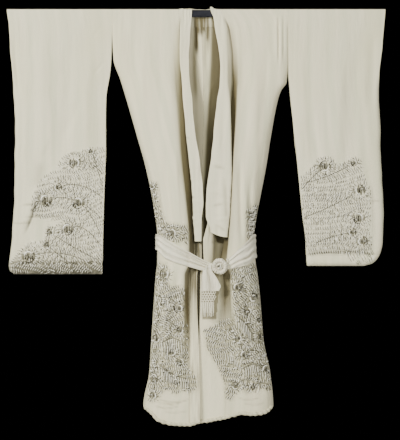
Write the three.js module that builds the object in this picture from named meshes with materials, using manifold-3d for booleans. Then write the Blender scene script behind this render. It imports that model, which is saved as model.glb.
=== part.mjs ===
// A wide-sleeved silk robe, tied with its sash and hung on a flat padded bar.
// Millimetres. +Z is up, -Y faces the front and +X is the wearer's left. The origin is the middle of the bar.
import * as THREE from "three";
import { mergeVertices } from "three/addons/utils/BufferGeometryUtils.js";
import Module from "manifold-3d";

const wasm = await Module();
wasm.setup();

// ---------- driving sizes ----------
const CLOTH = 2; // crepe, its lining and the thin wadding between them
const BAND = 3; // collar and sash, folded double
const GAP = 0.3; // between pieces that are sewn or lie together
const BAR = { length: 1260, height: 24, depth: 14, corner: 4 };
const OVER_BAR = { top: BAR.height / 2 + GAP + CLOTH, side: BAR.depth / 2 + GAP + CLOTH };
const HEM_ROLL = 6; // radius of the padded hem
const HEM_LEVEL = -1396; // lowest point of the hem
const HEM_EASE = -1100; // below this the rows bend to the hem's line
const ARMHOLE_END = { right: -151, left: -202 }; // the body's sides are open above these
const CUFF_END = -209; // the sleeve's outer edge is open above this
const SIDE_CLOSES_OVER = 50; // height in which an open side edge draws shut
const SLEEVE_EDGE = 18; // how far in a folded sleeve edge rounds over
const SLEEVE_FOOT = 14; // the same at the padded sleeve bottom
const NECK_CUT = { right: -65, left: 75, depth: 60, height: 80 };
const NECK_BAND = { top: 17, bottom: -45.7 };
const KNOT = { x: 73, y: -74, z: -858, radius: 27, depth: 26 };

const lerp = (a, b, t) => a + (b - a) * t;
const clamp = (v, low, high) => Math.min(high, Math.max(low, v));

// Rows of named columns against a falling first column. at() reads a column between its rows on a smooth
// curve that never passes the values on each side of it.
class Table {
  constructor(names, rows) {
    this.keys = rows.map((row) => row[0]);
    this.columns = Object.fromEntries(names.slice(1).map((name, i) => [name, rows.map((row) => row[i + 1])]));
  }

  slope(values, i) {
    if (i === 0 || i === values.length - 1) return 0;
    const before = (values[i] - values[i - 1]) / (this.keys[i] - this.keys[i - 1]);
    const after = (values[i + 1] - values[i]) / (this.keys[i + 1] - this.keys[i]);
    return before * after <= 0 ? 0 : (2 * before * after) / (before + after);
  }

  at(name, key) {
    const keys = this.keys;
    const values = this.columns[name];
    const last = keys.length - 1;
    if (key >= keys[0]) return values[0];
    if (key <= keys[last]) return values[last];
    const i = keys.findIndex((k) => key > k) - 1;
    const span = keys[i + 1] - keys[i];
    const t = (key - keys[i]) / span;
    const start = this.slope(values, i) * span;
    const end = this.slope(values, i + 1) * span;
    const rise = values[i + 1] - values[i];
    return values[i] + start * t + (3 * rise - 2 * start - end) * t ** 2 + (start + end - 2 * rise) * t ** 3;
  }
}

// ---------- the robe's measures, one row for each height ----------
// side: the body's side edge. crest: the front fold beside the opening. valley: the trough behind that fold.
const frontColumns = ["z", "side", "crest", "crestY", "valley", "valleyY"];
const flat = -OVER_BAR.side; // where cloth lies against the bar's front
const FRONT = {
  right: new Table(frontColumns, [
    [14, -291, -92, flat, -65, flat],
    [-12, -291, -90, flat, -65, flat],
    [-56, -291, -82, -16, -64, -12],
    [-158, -287, -85, -24, -61, -14],
    [-226, -264, -82, -32, -58, -14],
    [-294, -243, -75, -40, -51, -14],
    [-430, -204, -66, -48, -41, -12],
    [-515, -180, -58, -52, -31, -10],
    [-634, -155, -44, -56, -20, -8],
    [-770, -138, -33, -58, -13, -6],
    [-845, -139, -34, -58, -17, -14],
    [-889, -144, -48, -58, -31, -24],
    [-974, -150, -48, -58, -32, -32],
    [-1110, -159, -46, -58, -31, -44],
    [-1246, -166, -54, -60, -31, -56],
    [-1396, -186, -54, -66, -31, -65],
  ]),
  left: new Table(frontColumns, [
    [14, 306, 108, flat, 75, flat],
    [-12, 306, 122, flat, 91, flat],
    [-56, 306, 129, -16, 108, -12],
    [-158, 306, 136, -24, 119, -14],
    [-236, 301, 136, -32, 119, -14],
    [-260, 284, 134, -36, 117, -14],
    [-294, 272, 133, -40, 114, -14],
    [-430, 246, 127, -48, 106, -12],
    [-515, 233, 122, -52, 103, -10],
    [-634, 210, 116, -56, 98, -8],
    [-700, 198, 112, -57, 94, -8],
    [-770, 190, 106, -58, 88, -6],
    [-845, 196, 100, -58, 76, -14],
    [-889, 203, 112, -58, 86, -24],
    [-974, 212, 119, -58, 90, -36],
    [-1110, 223, 136, -60, 95, -46],
    [-1246, 245, 143, -62, 92, -56],
    [-1396, 256, 143, -64, 92, -60],
  ]),
};

// crest: the fold that hangs farthest back. ridge: the centre-back seam, drawn in towards the front.
const backColumns = ["z", "crest", "crestY", "ridge", "ridgeY"];
const BACK = {
  right: new Table(backColumns, [
    [14, -110, -flat, 8, -flat],
    [-12, -110, -flat, 8, -flat],
    [-56, -86, 15, 12, 7],
    [-158, -70, 22, 16, 6],
    [-294, -58, 31, 19, 3.5],
    [-430, -50, 37, 17, 3.5],
    [-634, -42, 40, 15, 8],
    [-790, -50, 38, 16, 18],
    [-974, -60, 44, 13, 22],
    [-1246, -64, 50, 9, 30],
    [-1396, -66, 52, 7, 33],
  ]),
  left: new Table(backColumns, [
    [14, 126, -flat, 8, -flat],
    [-12, 126, -flat, 8, -flat],
    [-56, 110, 15, 12, 7],
    [-158, 102, 22, 16, 6],
    [-294, 94, 31, 19, 3.5],
    [-430, 84, 37, 17, 3.5],
    [-634, 72, 40, 15, 8],
    [-790, 80, 38, 16, 18],
    [-974, 88, 44, 13, 22],
    [-1246, 92, 50, 9, 30],
    [-1396, 94, 52, 7, 33],
  ]),
};

// outer: the collar's folded edge, which stands over the valley. inner: its edge along the opening.
const collarColumns = ["z", "outer", "outerY", "inner", "innerY"];
const COLLAR = {
  right: new Table(collarColumns, [
    [14, -62, flat, -21, flat],
    [-12, -62, flat, -22, flat],
    [-56, -61, -20, -26, -18],
    [-158, -60, -30, -31, -30],
    [-226, -54, -39, -29, -40],
    [-294, -50, -46, -21, -48],
    [-430, -38, -54, -7, -56],
    [-515, -26, -56, 7, -58],
    [-634, -18, -56, 18, -58],
    [-700, -17, -52, 12, -54],
    [-774, -9, -44, 10, -46],
  ]),
  left: new Table(collarColumns, [
    [14, 72, flat, 41, flat],
    [-12, 87, flat, 52, flat],
    [-56, 95, -20, 58, -18],
    [-158, 99, -30, 74, -30],
    [-226, 100, -39, 74, -40],
    [-294, 106, -46, 65, -48],
    [-430, 112, -54, 51, -56],
    [-515, 113, -56, 41, -58],
    [-634, 108, -56, 27, -58],
    [-700, 105, -56, 26, -58],
    [-760, 99, -56, 42, -58],
  ]),
};
const COLLAR_END = { right: { outer: -774, inner: -774 }, left: { outer: -760, inner: -742 } };

// floor and turn: the folds of the overlap strip between the panel's valley and the front edge.
const overlapColumns = ["z", "start", "startY", "floor", "floorY", "turn", "turnY", "edge", "edgeY"];
const OVERLAP = {
  right: new Table(overlapColumns, [
    [-780, -13, -6, -6, -10, 2, -24, 13, -30],
    [-845, -17, -14, -10, -17, 0, -27, 12, -32],
    [-889, -31, -24, -25, -24, -14, -34, -3, -38],
    [-974, -32, -32, -25, -33, -14, -41, -3, -44],
    [-1110, -31, -44, -24, -45, -14, -50, 2, -52],
    [-1246, -31, -56, -24, -57, -12, -61, 5, -62],
    [-1396, -31, -65, -24, -66, -10, -67, 7, -68],
  ]),
  left: new Table(overlapColumns, [
    [-700, 62, -12, 58, -15, 51, -44, 18, -48],
    [-772, 62, -12, 58, -15, 51, -44, 18, -48],
    [-800, 84, -9, 60, -12, 51, -43, 18, -46],
    [-845, 76, -14, 62, -16, 50, -36, 20, -40],
    [-889, 86, -24, 70, -23, 45, -31, 8, -36],
    [-974, 90, -36, 72, -34, 42, -38, 7, -40],
    [-1110, 95, -46, 75, -43, 42, -44, 4, -44],
    [-1246, 92, -56, 72, -51, 36, -50, -3, -50],
    [-1396, 92, -60, 72, -56, 36, -54, -3, -54],
  ]),
};
const WAIST_SEAM = -778; // below this the overlap strip is sewn to the panel along its valley

// depth: how far the sleeve's middle stands from the bar's plane.
const sleeveColumns = ["z", "outer", "inner", "depth"];
const SLEEVE = {
  right: new Table(sleeveColumns, [
    [14, -649, -291.3, -flat],
    [-39, -642, -291.3, 10],
    [-107, -638, -293.5, 11],
    [-158, -634, -295, 12],
    [-202, -630, -299, 12.5],
    [-287, -626, -312, 13],
    [-382, -621, -314, 14],
    [-484, -624, -314, 14.5],
    [-600, -624, -318, 14.5],
    [-699, -630, -321, 14],
    [-777, -634, -323, 13],
    [-835, -640, -324, 12],
    [-858, -642, -325, 11.5],
    [-876, -638, -326, 11],
    [-886, -626, -327, 10],
  ]),
  left: new Table(sleeveColumns, [
    [14, 636, 306.3, -flat],
    [-39, 632, 306.3, 10],
    [-97, 627, 306.3, 11],
    [-202, 615, 307, 12.5],
    [-287, 614, 314, 13],
    [-382, 619, 324, 14],
    [-502, 622, 336, 14.5],
    [-600, 627, 346, 14.5],
    [-699, 631, 356, 14],
    [-777, 627, 366, 13],
    [-811, 620, 368, 12],
    [-835, 609, 370, 11.5],
    [-850, 592, 371, 11],
    [-858, 568, 372, 10],
  ]),
};
const SLEEVE_BOTTOM = { right: -886, left: -858 };
const SLEEVE_LEVELS = [-12, -70, -130, -190, CUFF_END - 8, -290, -390, -500, -600, -690, -780, -835];

// Long soft creases in the sleeves: a run from one point to another, its half width and its height.
const creaseNames = ["fromX", "fromZ", "toX", "toZ", "width", "height"];
const SLEEVE_CREASES = {
  right: [
    [-420, -60, -450, -560, 34, 2.6],
    [-560, -120, -520, -580, 30, -2.4],
    [-516, -583, -590, -720, 26, 3],
    [-380, -300, -400, -780, 30, -2.2],
  ],
  left: [
    [400, -80, 420, -520, 32, 2.4],
    [545, -140, 500, -560, 30, -2.4],
    [470, -420, 540, -760, 30, 2.6],
  ],
};

// The hem's line from the right side to the left, by its distance across.
const HEM = new Table(
  ["x", "z"],
  [
    [248, -1341],
    [233, -1353],
    [207, -1360],
    [175, -1361],
    [149, -1358],
    [118, -1365],
    [88, -1374],
    [60, -1379],
    [31, -1385],
    [5, -1387],
    [-32, -1396],
    [-82, -1394],
    [-133, -1382],
    [-157, -1358],
    [-184, -1341],
  ],
);

// The sash's two front stretches: the heights of its upper and lower edges, by distance across.
const SASH_EDGES = {
  right: new Table(
    ["x", "upper", "lower"],
    [
      [46, -847, -876],
      [17, -835, -872],
      [-27, -811, -860],
      [-78, -783, -845],
      [-112, -764, -831],
      [-143, -750, -804],
    ],
  ),
  left: new Table(
    ["x", "upper", "lower"],
    [
      [194, -750, -831],
      [167, -773, -852],
      [136, -801, -860],
      [100, -832, -868],
    ],
  ),
  back: new Table(
    ["x", "upper", "lower"],
    [
      [194, -750, -831],
      [-143, -750, -804],
    ],
  ),
};
const SASH_MIDDLE = -800;
const SASH_CREASES = { count: 3, height: 1.4 };
const SASH_EASE = 2; // between the sash and the folds that it gathers
const SASH_BRIDGE = {
  right: [
    [12, -66],
    [46.4, -70],
  ],
  left: [[101.8, -70]],
};

const TAIL = new Table(
  ["z", "left", "right"],
  [
    [-850, 20, 44],
    [-870, 17, 46],
    [-889, 14, 58],
    [-910, 12, 70],
    [-926, 10, 76],
    [-940, 9, 70],
  ],
);
const TAIL_FRONT = -74.2;
const TAIL_FOLDS = { height: 2.4, turns: 1.4, grows: 40 };
const NET = { left: 9, right: 68, top: -940.5, bottom: -981, footRight: 56, hole: 2.7, pitch: 8.6, rows: 4 };
const FRINGE = { top: -981.3, root: 4, length: 50, strands: 26, thick: 1.4, sway: 4 };

// ---------- building ----------
const meshes = [];
function add(name, geometry, colour, roughness) {
  const finish = new THREE.MeshStandardMaterial({ color: colour, roughness, metalness: 0 });
  const mesh = new THREE.Mesh(geometry, finish);
  mesh.name = name;
  meshes.push(mesh);
}

const SILK = 0xd9d5c5;
const SASH_SILK = 0xe2decf;
const BAR_CLOTH = 0x2d2d3c;

function toSolid(geometry) {
  const bare = new THREE.BufferGeometry();
  bare.setAttribute("position", geometry.getAttribute("position"));
  if (geometry.index) bare.setIndex(geometry.index);
  const merged = mergeVertices(bare, 1e-3);
  return new wasm.Manifold(
    new wasm.Mesh({
      numProp: 3,
      vertProperties: new Float32Array(merged.getAttribute("position").array),
      triVerts: new Uint32Array(merged.index.array),
    }),
  );
}

function toGeometry(solid) {
  const mesh = solid.getMesh();
  const geometry = new THREE.BufferGeometry();
  geometry.setAttribute("position", new THREE.BufferAttribute(mesh.vertProperties, 3));
  geometry.setIndex(new THREE.BufferAttribute(mesh.triVerts, 1));
  geometry.computeVertexNormals();
  return geometry;
}

// A wall of even thickness behind a grid of outer points. Rows run down and columns across, to the viewer's
// right where the piece faces the front. facing is -1 for a front piece that stays at y < 0, 1 for a back
// piece that stays at y > 0, and 0 where neither holds.
function wall(rows, thickness, { reversed = false, facing = 0 } = {}) {
  const rowCount = rows.length;
  const columnCount = rows[0].length;
  const point = (r, c) => rows[clamp(r, 0, rowCount - 1)][clamp(c, 0, columnCount - 1)];
  const outer = [];
  const inner = [];
  const limit = (p) => {
    if (facing < 0) p.y = Math.min(p.y, -GAP / 2);
    if (facing > 0) p.y = Math.max(p.y, GAP / 2);
    return p;
  };
  for (let r = 0; r < rowCount; r += 1) {
    for (let c = 0; c < columnCount; c += 1) {
      const across = point(r, c + 1).clone().sub(point(r, c - 1));
      const down = point(r + 1, c).clone().sub(point(r - 1, c));
      const normal = down.cross(across).normalize();
      if (reversed) normal.negate();
      outer.push(limit(point(r, c).clone()));
      inner.push(limit(point(r, c).clone().addScaledVector(normal, -thickness)));
    }
  }
  const at = (r, c) => r * columnCount + c;
  const inside = outer.length;
  const index = [];
  const face = (a, b, c) => (reversed ? index.push(a, c, b) : index.push(a, b, c));
  const quad = (a, b, c, d) => {
    face(a, b, c);
    face(a, c, d);
  };
  for (let r = 0; r < rowCount - 1; r += 1) {
    for (let c = 0; c < columnCount - 1; c += 1) {
      quad(at(r, c), at(r + 1, c), at(r + 1, c + 1), at(r, c + 1));
      quad(inside + at(r, c), inside + at(r, c + 1), inside + at(r + 1, c + 1), inside + at(r + 1, c));
    }
  }
  const rim = [];
  for (let c = 0; c < columnCount - 1; c += 1) rim.push(at(0, c));
  for (let r = 0; r < rowCount - 1; r += 1) rim.push(at(r, columnCount - 1));
  for (let c = columnCount - 1; c > 0; c -= 1) rim.push(at(rowCount - 1, c));
  for (let r = rowCount - 1; r > 0; r -= 1) rim.push(at(r, 0));
  rim.forEach((a, i) => {
    const b = rim[(i + 1) % rim.length];
    quad(a, b, inside + b, inside + a);
  });
  const geometry = new THREE.BufferGeometry();
  const points = [...outer, ...inner].flatMap((p) => [p.x, p.y, p.z]);
  geometry.setAttribute("position", new THREE.Float32BufferAttribute(points, 3));
  geometry.setIndex(index);
  geometry.computeVertexNormals();
  return geometry;
}

// A smooth line through plan points, read at chosen places: 0 is the first point, 1 the second and so on.
function readPlan(points, places) {
  const curve = new THREE.CatmullRomCurve3(points.map(([x, y]) => new THREE.Vector3(x, y, 0)));
  return places.map((place) => curve.getPoint(clamp(place / (points.length - 1), 0, 1)));
}

// Rows that pass over the bar: how far from its middle they are, as a share of its side, and their height.
const overBar = (first) => [
  ...first.map((share) => ({ share, z: OVER_BAR.top })),
  { share: 0.86, z: OVER_BAR.top - 1.4 },
  { share: 1, z: OVER_BAR.top - 5 },
];
const hanging = (levels) => levels.map((z) => ({ share: 1, z }));

// A piece that hangs down from the bar, from its plan at each height.
function hang(plan, places, levels, bottomAt) {
  return levels.map(({ share, z }) => {
    const row = readPlan(plan(z), places);
    return row.map((p) => {
      if (!bottomAt || z > HEM_EASE) return new THREE.Vector3(p.x, p.y * share, z);
      const drop = (HEM_EASE - z) / (HEM_EASE - HEM_LEVEL);
      return new THREE.Vector3(p.x, p.y, lerp(HEM_EASE, bottomAt(p.x), drop));
    });
  });
}

const openness = (z, end) => clamp((z - end + SIDE_CLOSES_OVER) / SIDE_CLOSES_OVER, 0, 1);
const sideDepth = (z, end) => lerp(GAP / 2, OVER_BAR.side, openness(z, end));

function frontPlan(hand, z) {
  const read = (name) => FRONT[hand].at(name, z);
  const [edge, crest, valley] = [read("side"), read("crest"), read("valley")];
  const edgeY = -sideDepth(z, ARMHOLE_END[hand]);
  const inward = Math.sign(crest - edge);
  return [
    [edge, edgeY],
    [edge + 2.5 * inward, lerp(edgeY, read("crestY"), 0.25)],
    [edge + 14 * inward, lerp(edgeY, read("crestY"), 0.6)],
    [lerp(edge, crest, 0.45), lerp(edgeY, read("crestY"), 0.92)],
    [crest, read("crestY")],
    [lerp(crest, valley, 0.6), lerp(read("crestY"), read("valleyY"), 0.45)],
    [valley, read("valleyY")],
  ];
}
const FRONT_CREST = 4;
const FRONT_VALLEY = 6;

function backPlan(hand, z) {
  const read = (name) => BACK[hand].at(name, z);
  const edge = FRONT[hand].at("side", z);
  const edgeY = sideDepth(z, ARMHOLE_END[hand]);
  const inward = Math.sign(read("crest") - edge);
  const seam = read("ridge") - (inward * GAP) / 2;
  return [
    [edge, edgeY],
    [edge + 2.5 * inward, lerp(edgeY, read("crestY"), 0.25)],
    [edge + 14 * inward, lerp(edgeY, read("crestY"), 0.6)],
    [lerp(edge, read("crest"), 0.45), lerp(edgeY, read("crestY"), 0.92)],
    [read("crest"), read("crestY")],
    [lerp(read("crest"), seam, 0.55), lerp(read("crestY"), read("ridgeY"), 0.4)],
    [seam, read("ridgeY")],
  ];
}
const BACK_CREST = 4;

const BODY_LEVELS = [
  -12, -34, -56, -105, -158, -200, -236, -294, -360, -430, -515, -600, -680, -720, -760, -800, -845, -889, -940,
  -1010, -1100, -1200, -1300, HEM_LEVEL,
];
const hemMiddle = (x) => HEM.at("z", x) + HEM_ROLL;
const isRight = (hand) => hand === "right";

function frontPanel(hand) {
  const places = [0, 0.5, 1, 2, 2.5, 3, 3.5, 3.8, 4, 4.25, 4.7, 5.3, 6];
  const plan = (z) => frontPlan(hand, z);
  const levels = [...overBar([GAP / 2 / OVER_BAR.side, 0.5]), ...hanging(BODY_LEVELS)];
  const rows = hang(plan, places, levels, hemMiddle);
  const panel = toSolid(wall(rows, CLOTH, { reversed: !isRight(hand), facing: -1 }));
  return toGeometry(panel.subtract(toSolid(frontHemRoll(hand, GAP))));
}

function backPanel(hand) {
  const places = [0, 0.5, 1, 2, 3, 3.6, 4, 4.5, 5, 5.5, 6];
  const plan = (z) => backPlan(hand, z);
  const levels = [...overBar([GAP / 2 / OVER_BAR.side, 0.5]), ...hanging(BODY_LEVELS)];
  const rows = hang(plan, places, levels, hemMiddle);
  const panel = toSolid(wall(rows, CLOTH, { reversed: isRight(hand), facing: 1 }));
  const width = NECK_CUT.left - NECK_CUT.right;
  const cut = new THREE.BoxGeometry(width, NECK_CUT.depth, NECK_CUT.height);
  const middle = (NECK_CUT.left + NECK_CUT.right) / 2;
  cut.translate(middle, NECK_CUT.depth / 2 - 1, NECK_BAND.bottom - GAP + NECK_CUT.height / 2);
  return toGeometry(panel.subtract(toSolid(cut)).subtract(toSolid(backHemRoll(hand, GAP))));
}

function collarPlan(hand, z) {
  const read = (name) => COLLAR[hand].at(name, z);
  const inward = isRight(hand) ? 1 : -1;
  const start = FRONT[hand].at("valley", z) + GAP * inward;
  const startY = FRONT[hand].at("valleyY", z);
  const crown = clamp(-z / 60, 0, 1);
  return [
    [start + 2 * crown * inward, startY + crown],
    [lerp(start, read("outer"), 0.55), lerp(startY, read("outerY"), 0.5)],
    [read("outer"), read("outerY")],
    [lerp(read("outer"), read("inner"), 0.5), lerp(read("outerY"), read("innerY"), 0.5) - crown],
    [read("inner"), read("innerY")],
  ];
}

function collarStrip(hand) {
  const places = [0, 1, 1.7, 2, 2.3, 3, 4];
  const end = COLLAR_END[hand];
  const levels = [
    ...overBar([-(BAR.depth / 2 + GAP) / OVER_BAR.side, -0.3, 0.4]),
    ...hanging([...BODY_LEVELS.filter((z) => z > end.outer), end.outer]),
  ];
  const rows = hang((z) => collarPlan(hand, z), places, levels);
  const last = rows[rows.length - 1];
  last.forEach((p, i) => {
    p.z = lerp(end.outer, end.inner, clamp((places[i] - 2) / 2, 0, 1) ** 2);
  });
  return wall(rows, CLOTH, { reversed: !isRight(hand) });
}

function collarBack() {
  const width = NECK_CUT.left - NECK_CUT.right - 2 * GAP;
  const height = NECK_BAND.top - NECK_BAND.bottom;
  const band = new THREE.BoxGeometry(width, BAND, height);
  const middle = (NECK_CUT.left + NECK_CUT.right) / 2;
  return band.translate(middle, BAR.depth / 2 + 2 * GAP + BAND / 2, (NECK_BAND.top + NECK_BAND.bottom) / 2);
}

function overlapPlan(hand, z) {
  const read = (name) => OVERLAP[hand].at(name, z);
  const inward = isRight(hand) ? 1 : -1;
  const sewn = z < WAIST_SEAM;
  const start = sewn ? FRONT[hand].at("valley", z) + 2 * GAP * inward : read("start");
  const startY = sewn ? FRONT[hand].at("valleyY", z) : read("startY");
  return [
    [start, startY],
    [read("floor"), read("floorY")],
    [read("turn"), read("turnY")],
    [lerp(read("turn"), read("edge"), 0.5), lerp(read("turnY"), read("edgeY"), 0.5) - 0.5],
    [read("edge"), read("edgeY")],
  ];
}

function overlapStrip(hand) {
  const places = [0, 1, 1.5, 2, 3, 4];
  const top = isRight(hand) ? [WAIST_SEAM - 3] : [-700, -740, WAIST_SEAM + 6];
  const levels = hanging([...top, ...BODY_LEVELS.filter((z) => z < WAIST_SEAM - 10)]);
  const rows = hang((z) => overlapPlan(hand, z), places, levels, hemMiddle);
  const strip = toSolid(wall(rows, CLOTH, { reversed: !isRight(hand) }));
  return toGeometry(strip.subtract(toSolid(frontHemRoll(hand, GAP))));
}

// Height of the soft creases at a point of a sleeve.
function creaseHeight(hand, x, z) {
  return SLEEVE_CREASES[hand].reduce((sum, row) => {
    const crease = Object.fromEntries(creaseNames.map((name, i) => [name, row[i]]));
    const run = new THREE.Line3(
      new THREE.Vector3(crease.fromX, crease.fromZ, 0),
      new THREE.Vector3(crease.toX, crease.toZ, 0),
    );
    const here = new THREE.Vector3(x, z, 0);
    const distance = run.closestPointToPoint(here, true, new THREE.Vector3()).distanceTo(here);
    return sum + crease.height * Math.exp(-((distance / crease.width) ** 2));
  }, 0);
}

// facing is -1 for the sleeve's front and 1 for its back.
function sleeveSheet(hand, facing) {
  const table = SLEEVE[hand];
  const bottom = SLEEVE_BOTTOM[hand];
  const sideways = [0, 0.04, 0.2, 0.4, 0.6, 0.8, 0.92, 0.975, 1];
  const levels = [
    ...overBar([GAP / 2 / OVER_BAR.side, 0.5]),
    ...hanging([...SLEEVE_LEVELS, bottom + 16, bottom + 5, bottom]),
  ];
  const rounded = (share) => Math.sqrt(1 - (1 - clamp(share, 0, 1)) ** 2);
  const rows = levels.map(({ share, z }) =>
    sideways.map((s) => {
      const x = lerp(table.at("inner", z), table.at("outer", z), s);
      const toOuter = Math.abs(x - table.at("outer", z)) / SLEEVE_EDGE;
      const outerEdge = lerp(rounded(toOuter), 1, openness(z, CUFF_END));
      const foot = rounded((z - bottom) / SLEEVE_FOOT);
      const hangsFree = clamp((-z - 60) / 200, 0, 1);
      const innerEdge = lerp(1, 0.75, hangsFree * (1 - clamp(s / 0.2, 0, 1)));
      const soft = creaseHeight(hand, x, z) * hangsFree;
      const depth = (table.at("depth", z) * innerEdge + soft) * outerEdge * foot;
      return new THREE.Vector3(x, facing * Math.max(GAP / 2, depth * share), z);
    }),
  );
  const reversed = isRight(hand) === facing < 0;
  return wall(rows, CLOTH, { reversed, facing });
}

// A padded roll along a row of points. extra makes it thicker and longer, to cut room for it.
function roll(points, steps, extra) {
  if (extra > 0) {
    const last = points.length - 1;
    points.unshift(points[0].clone().sub(points[1]).setLength(extra).add(points[0]));
    points.push(points[last + 1].clone().sub(points[last]).setLength(extra).add(points[last + 1]));
  }
  const section = new THREE.Shape();
  const corners = 7;
  for (let i = 0; i < corners; i += 1) {
    const angle = (i / corners) * 2 * Math.PI;
    const radius = HEM_ROLL + extra;
    const [x, y] = [radius * Math.cos(angle), radius * Math.sin(angle)];
    if (i === 0) section.moveTo(x, y);
    else section.lineTo(x, y);
  }
  section.closePath();
  return new THREE.ExtrudeGeometry(section, {
    steps,
    bevelEnabled: false,
    extrudePath: new THREE.CatmullRomCurve3(points),
  });
}

function hemPoints(plan, places) {
  return readPlan(plan, places).map((p) => new THREE.Vector3(p.x, p.y, HEM.at("z", p.x) + HEM_ROLL));
}

function frontHemRoll(hand, extra = 0) {
  const panel = hemPoints(frontPlan(hand, HEM_LEVEL), [1.6, 2.2, 2.6, 3, 3.5, 4, 5]);
  const strip = hemPoints(overlapPlan(hand, HEM_LEVEL), [0.5, 2, 3, 4]);
  return roll([...panel, ...strip], 26, extra);
}

function backHemRoll(hand, extra = 0) {
  return roll(hemPoints(backPlan(hand, HEM_LEVEL), [1.6, 2.2, 2.6, 3, 3.5, 4, 5, 5.93]), 20, extra);
}

// Plan points moved out sideways from the line that they follow.
function movedOut(points, distance) {
  return points.map((p, i) => {
    const before = points[Math.max(i - 1, 0)];
    const after = points[Math.min(i + 1, points.length - 1)];
    const along = new THREE.Vector3().subVectors(after, before).setZ(0).normalize();
    return new THREE.Vector3(p.x - along.y * distance, p.y + along.x * distance, 0);
  });
}

const SASH_ACROSS = [0, 0.17, 0.33, 0.5, 0.67, 0.83, 1];
const sashCrease = (share) => SASH_CREASES.height * Math.cos(share * SASH_CREASES.count * 2 * Math.PI);

// The rows of a band whose plan line is known at each height.
function bandRows(planAt, edges) {
  return SASH_ACROSS.map((share) =>
    planAt(SASH_MIDDLE).map((p, i) => {
      const z = lerp(edges.at("upper", p.x), edges.at("lower", p.x), share);
      const here = planAt(z)[i];
      return new THREE.Vector3(here.x, here.y, z);
    }),
  );
}

function sashFront(hand) {
  const places = [0, 0.5, 1, 2, 2.5, 3, 3.5, FRONT_CREST];
  const outward = (BAND + SASH_EASE + SASH_CREASES.height) * (isRight(hand) ? -1 : 1);
  const bridge = SASH_BRIDGE[hand].map(([x, y]) => new THREE.Vector3(x, y, 0));
  const planAt = (z) => [...movedOut(readPlan(frontPlan(hand, z), places), outward), ...bridge];
  const rows = bandRows(planAt, SASH_EDGES[hand]);
  rows.forEach((row, i) => {
    row.slice(3).forEach((p) => {
      p.y += sashCrease(SASH_ACROSS[i]);
    });
    row[0].y = -GAP / 2;
  });
  return wall(rows, BAND, { reversed: !isRight(hand), facing: -1 });
}

function sashBack() {
  const places = [0, 0.5, 1, 2, 3, 3.6, BACK_CREST];
  const outward = BAND + SASH_EASE;
  const planAt = (z) => [
    ...movedOut(readPlan(backPlan("right", z), places), outward),
    ...movedOut(readPlan(backPlan("left", z), places), -outward).reverse(),
  ];
  const rows = bandRows(planAt, SASH_EDGES.back);
  rows.forEach((row) => {
    row[0].y = GAP / 2;
    row[row.length - 1].y = GAP / 2;
  });
  return wall(rows, BAND, { reversed: true, facing: 1 });
}

// The knot: a round bun of gathered sash with a ring and a button-like eye.
function knot() {
  const half = KNOT.depth / 2;
  const profile = [
    [0, -half],
    [KNOT.radius * 0.55, -half],
    [KNOT.radius * 0.9, -half * 0.55],
    [KNOT.radius, 0],
    [KNOT.radius * 0.88, half * 0.6],
    [KNOT.radius * 0.62, half * 0.85],
    [KNOT.radius * 0.46, half * 0.55],
    [KNOT.radius * 0.34, half * 0.8],
    [0, half],
  ];
  const bun = new THREE.LatheGeometry(
    profile.map(([radius, out]) => new THREE.Vector2(radius, out)),
    18,
  );
  return bun.rotateX(Math.PI).translate(KNOT.x, KNOT.y, KNOT.z);
}

function sashTail() {
  const rows = TAIL.keys.map((z) =>
    [0, 0.2, 0.4, 0.6, 0.8, 1].map((s) => {
      const x = lerp(TAIL.at("left", z), TAIL.at("right", z), s);
      const fold = TAIL_FOLDS.height * clamp((TAIL.keys[0] - z) / TAIL_FOLDS.grows, 0.2, 1);
      return new THREE.Vector3(x, TAIL_FRONT + fold * Math.cos(s * TAIL_FOLDS.turns * 2 * Math.PI), z);
    }),
  );
  return wall(rows, CLOTH);
}

// A knotted net with round holes through it.
function sashNet() {
  const shape = new THREE.Shape();
  shape.moveTo(NET.left, NET.bottom);
  shape.lineTo(NET.footRight, NET.bottom);
  shape.lineTo(NET.right, NET.top);
  shape.lineTo(NET.left, NET.top);
  shape.closePath();
  for (let row = 0; row < NET.rows; row += 1) {
    const z = NET.top - NET.pitch * (row + 0.9);
    const right = lerp(NET.right, NET.footRight, (row + 1) / NET.rows);
    for (let x = NET.left + 5 + (row % 2) * (NET.pitch / 2); x < right - 5; x += NET.pitch) {
      const hole = new THREE.Path();
      hole.absarc(x, z, NET.hole, 0, 2 * Math.PI, true);
      shape.holes.push(hole);
    }
  }
  const plate = new THREE.ExtrudeGeometry(shape, { depth: CLOTH, bevelEnabled: false, curveSegments: 4 });
  return plate.rotateX(Math.PI / 2).translate(0, TAIL_FRONT + CLOTH, 0);
}

// Strands that hang from a narrow strip.
function sashFringe() {
  const width = NET.footRight - NET.left;
  const strip = new THREE.BoxGeometry(width, CLOTH, FRINGE.root);
  strip.translate(NET.left + width / 2, TAIL_FRONT + CLOTH / 2, FRINGE.top - FRINGE.root / 2);
  let fringe = toSolid(strip);
  for (let i = 0; i < FRINGE.strands; i += 1) {
    const x = NET.left + 1 + ((width - 2) * i) / (FRINGE.strands - 1);
    const sway = FRINGE.sway * Math.sin(i * 2.1) * 0.25;
    const length = FRINGE.length * (1 - 0.1 * Math.abs(Math.sin(i * 1.7)));
    const strand = new THREE.CylinderGeometry(FRINGE.thick / 2, FRINGE.thick / 2, length, 4, 3);
    const position = strand.getAttribute("position");
    for (let v = 0; v < position.count; v += 1) {
      const drop = 0.5 - position.getY(v) / length;
      position.setX(v, position.getX(v) + sway * drop ** 2);
      position.setZ(v, position.getZ(v) + sway * drop ** 2);
    }
    strand.rotateX(Math.PI / 2);
    strand.translate(x, TAIL_FRONT + CLOTH / 2, FRINGE.top - FRINGE.root + 1 - length / 2);
    fringe = fringe.add(toSolid(strand));
  }
  return toGeometry(fringe);
}

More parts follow.
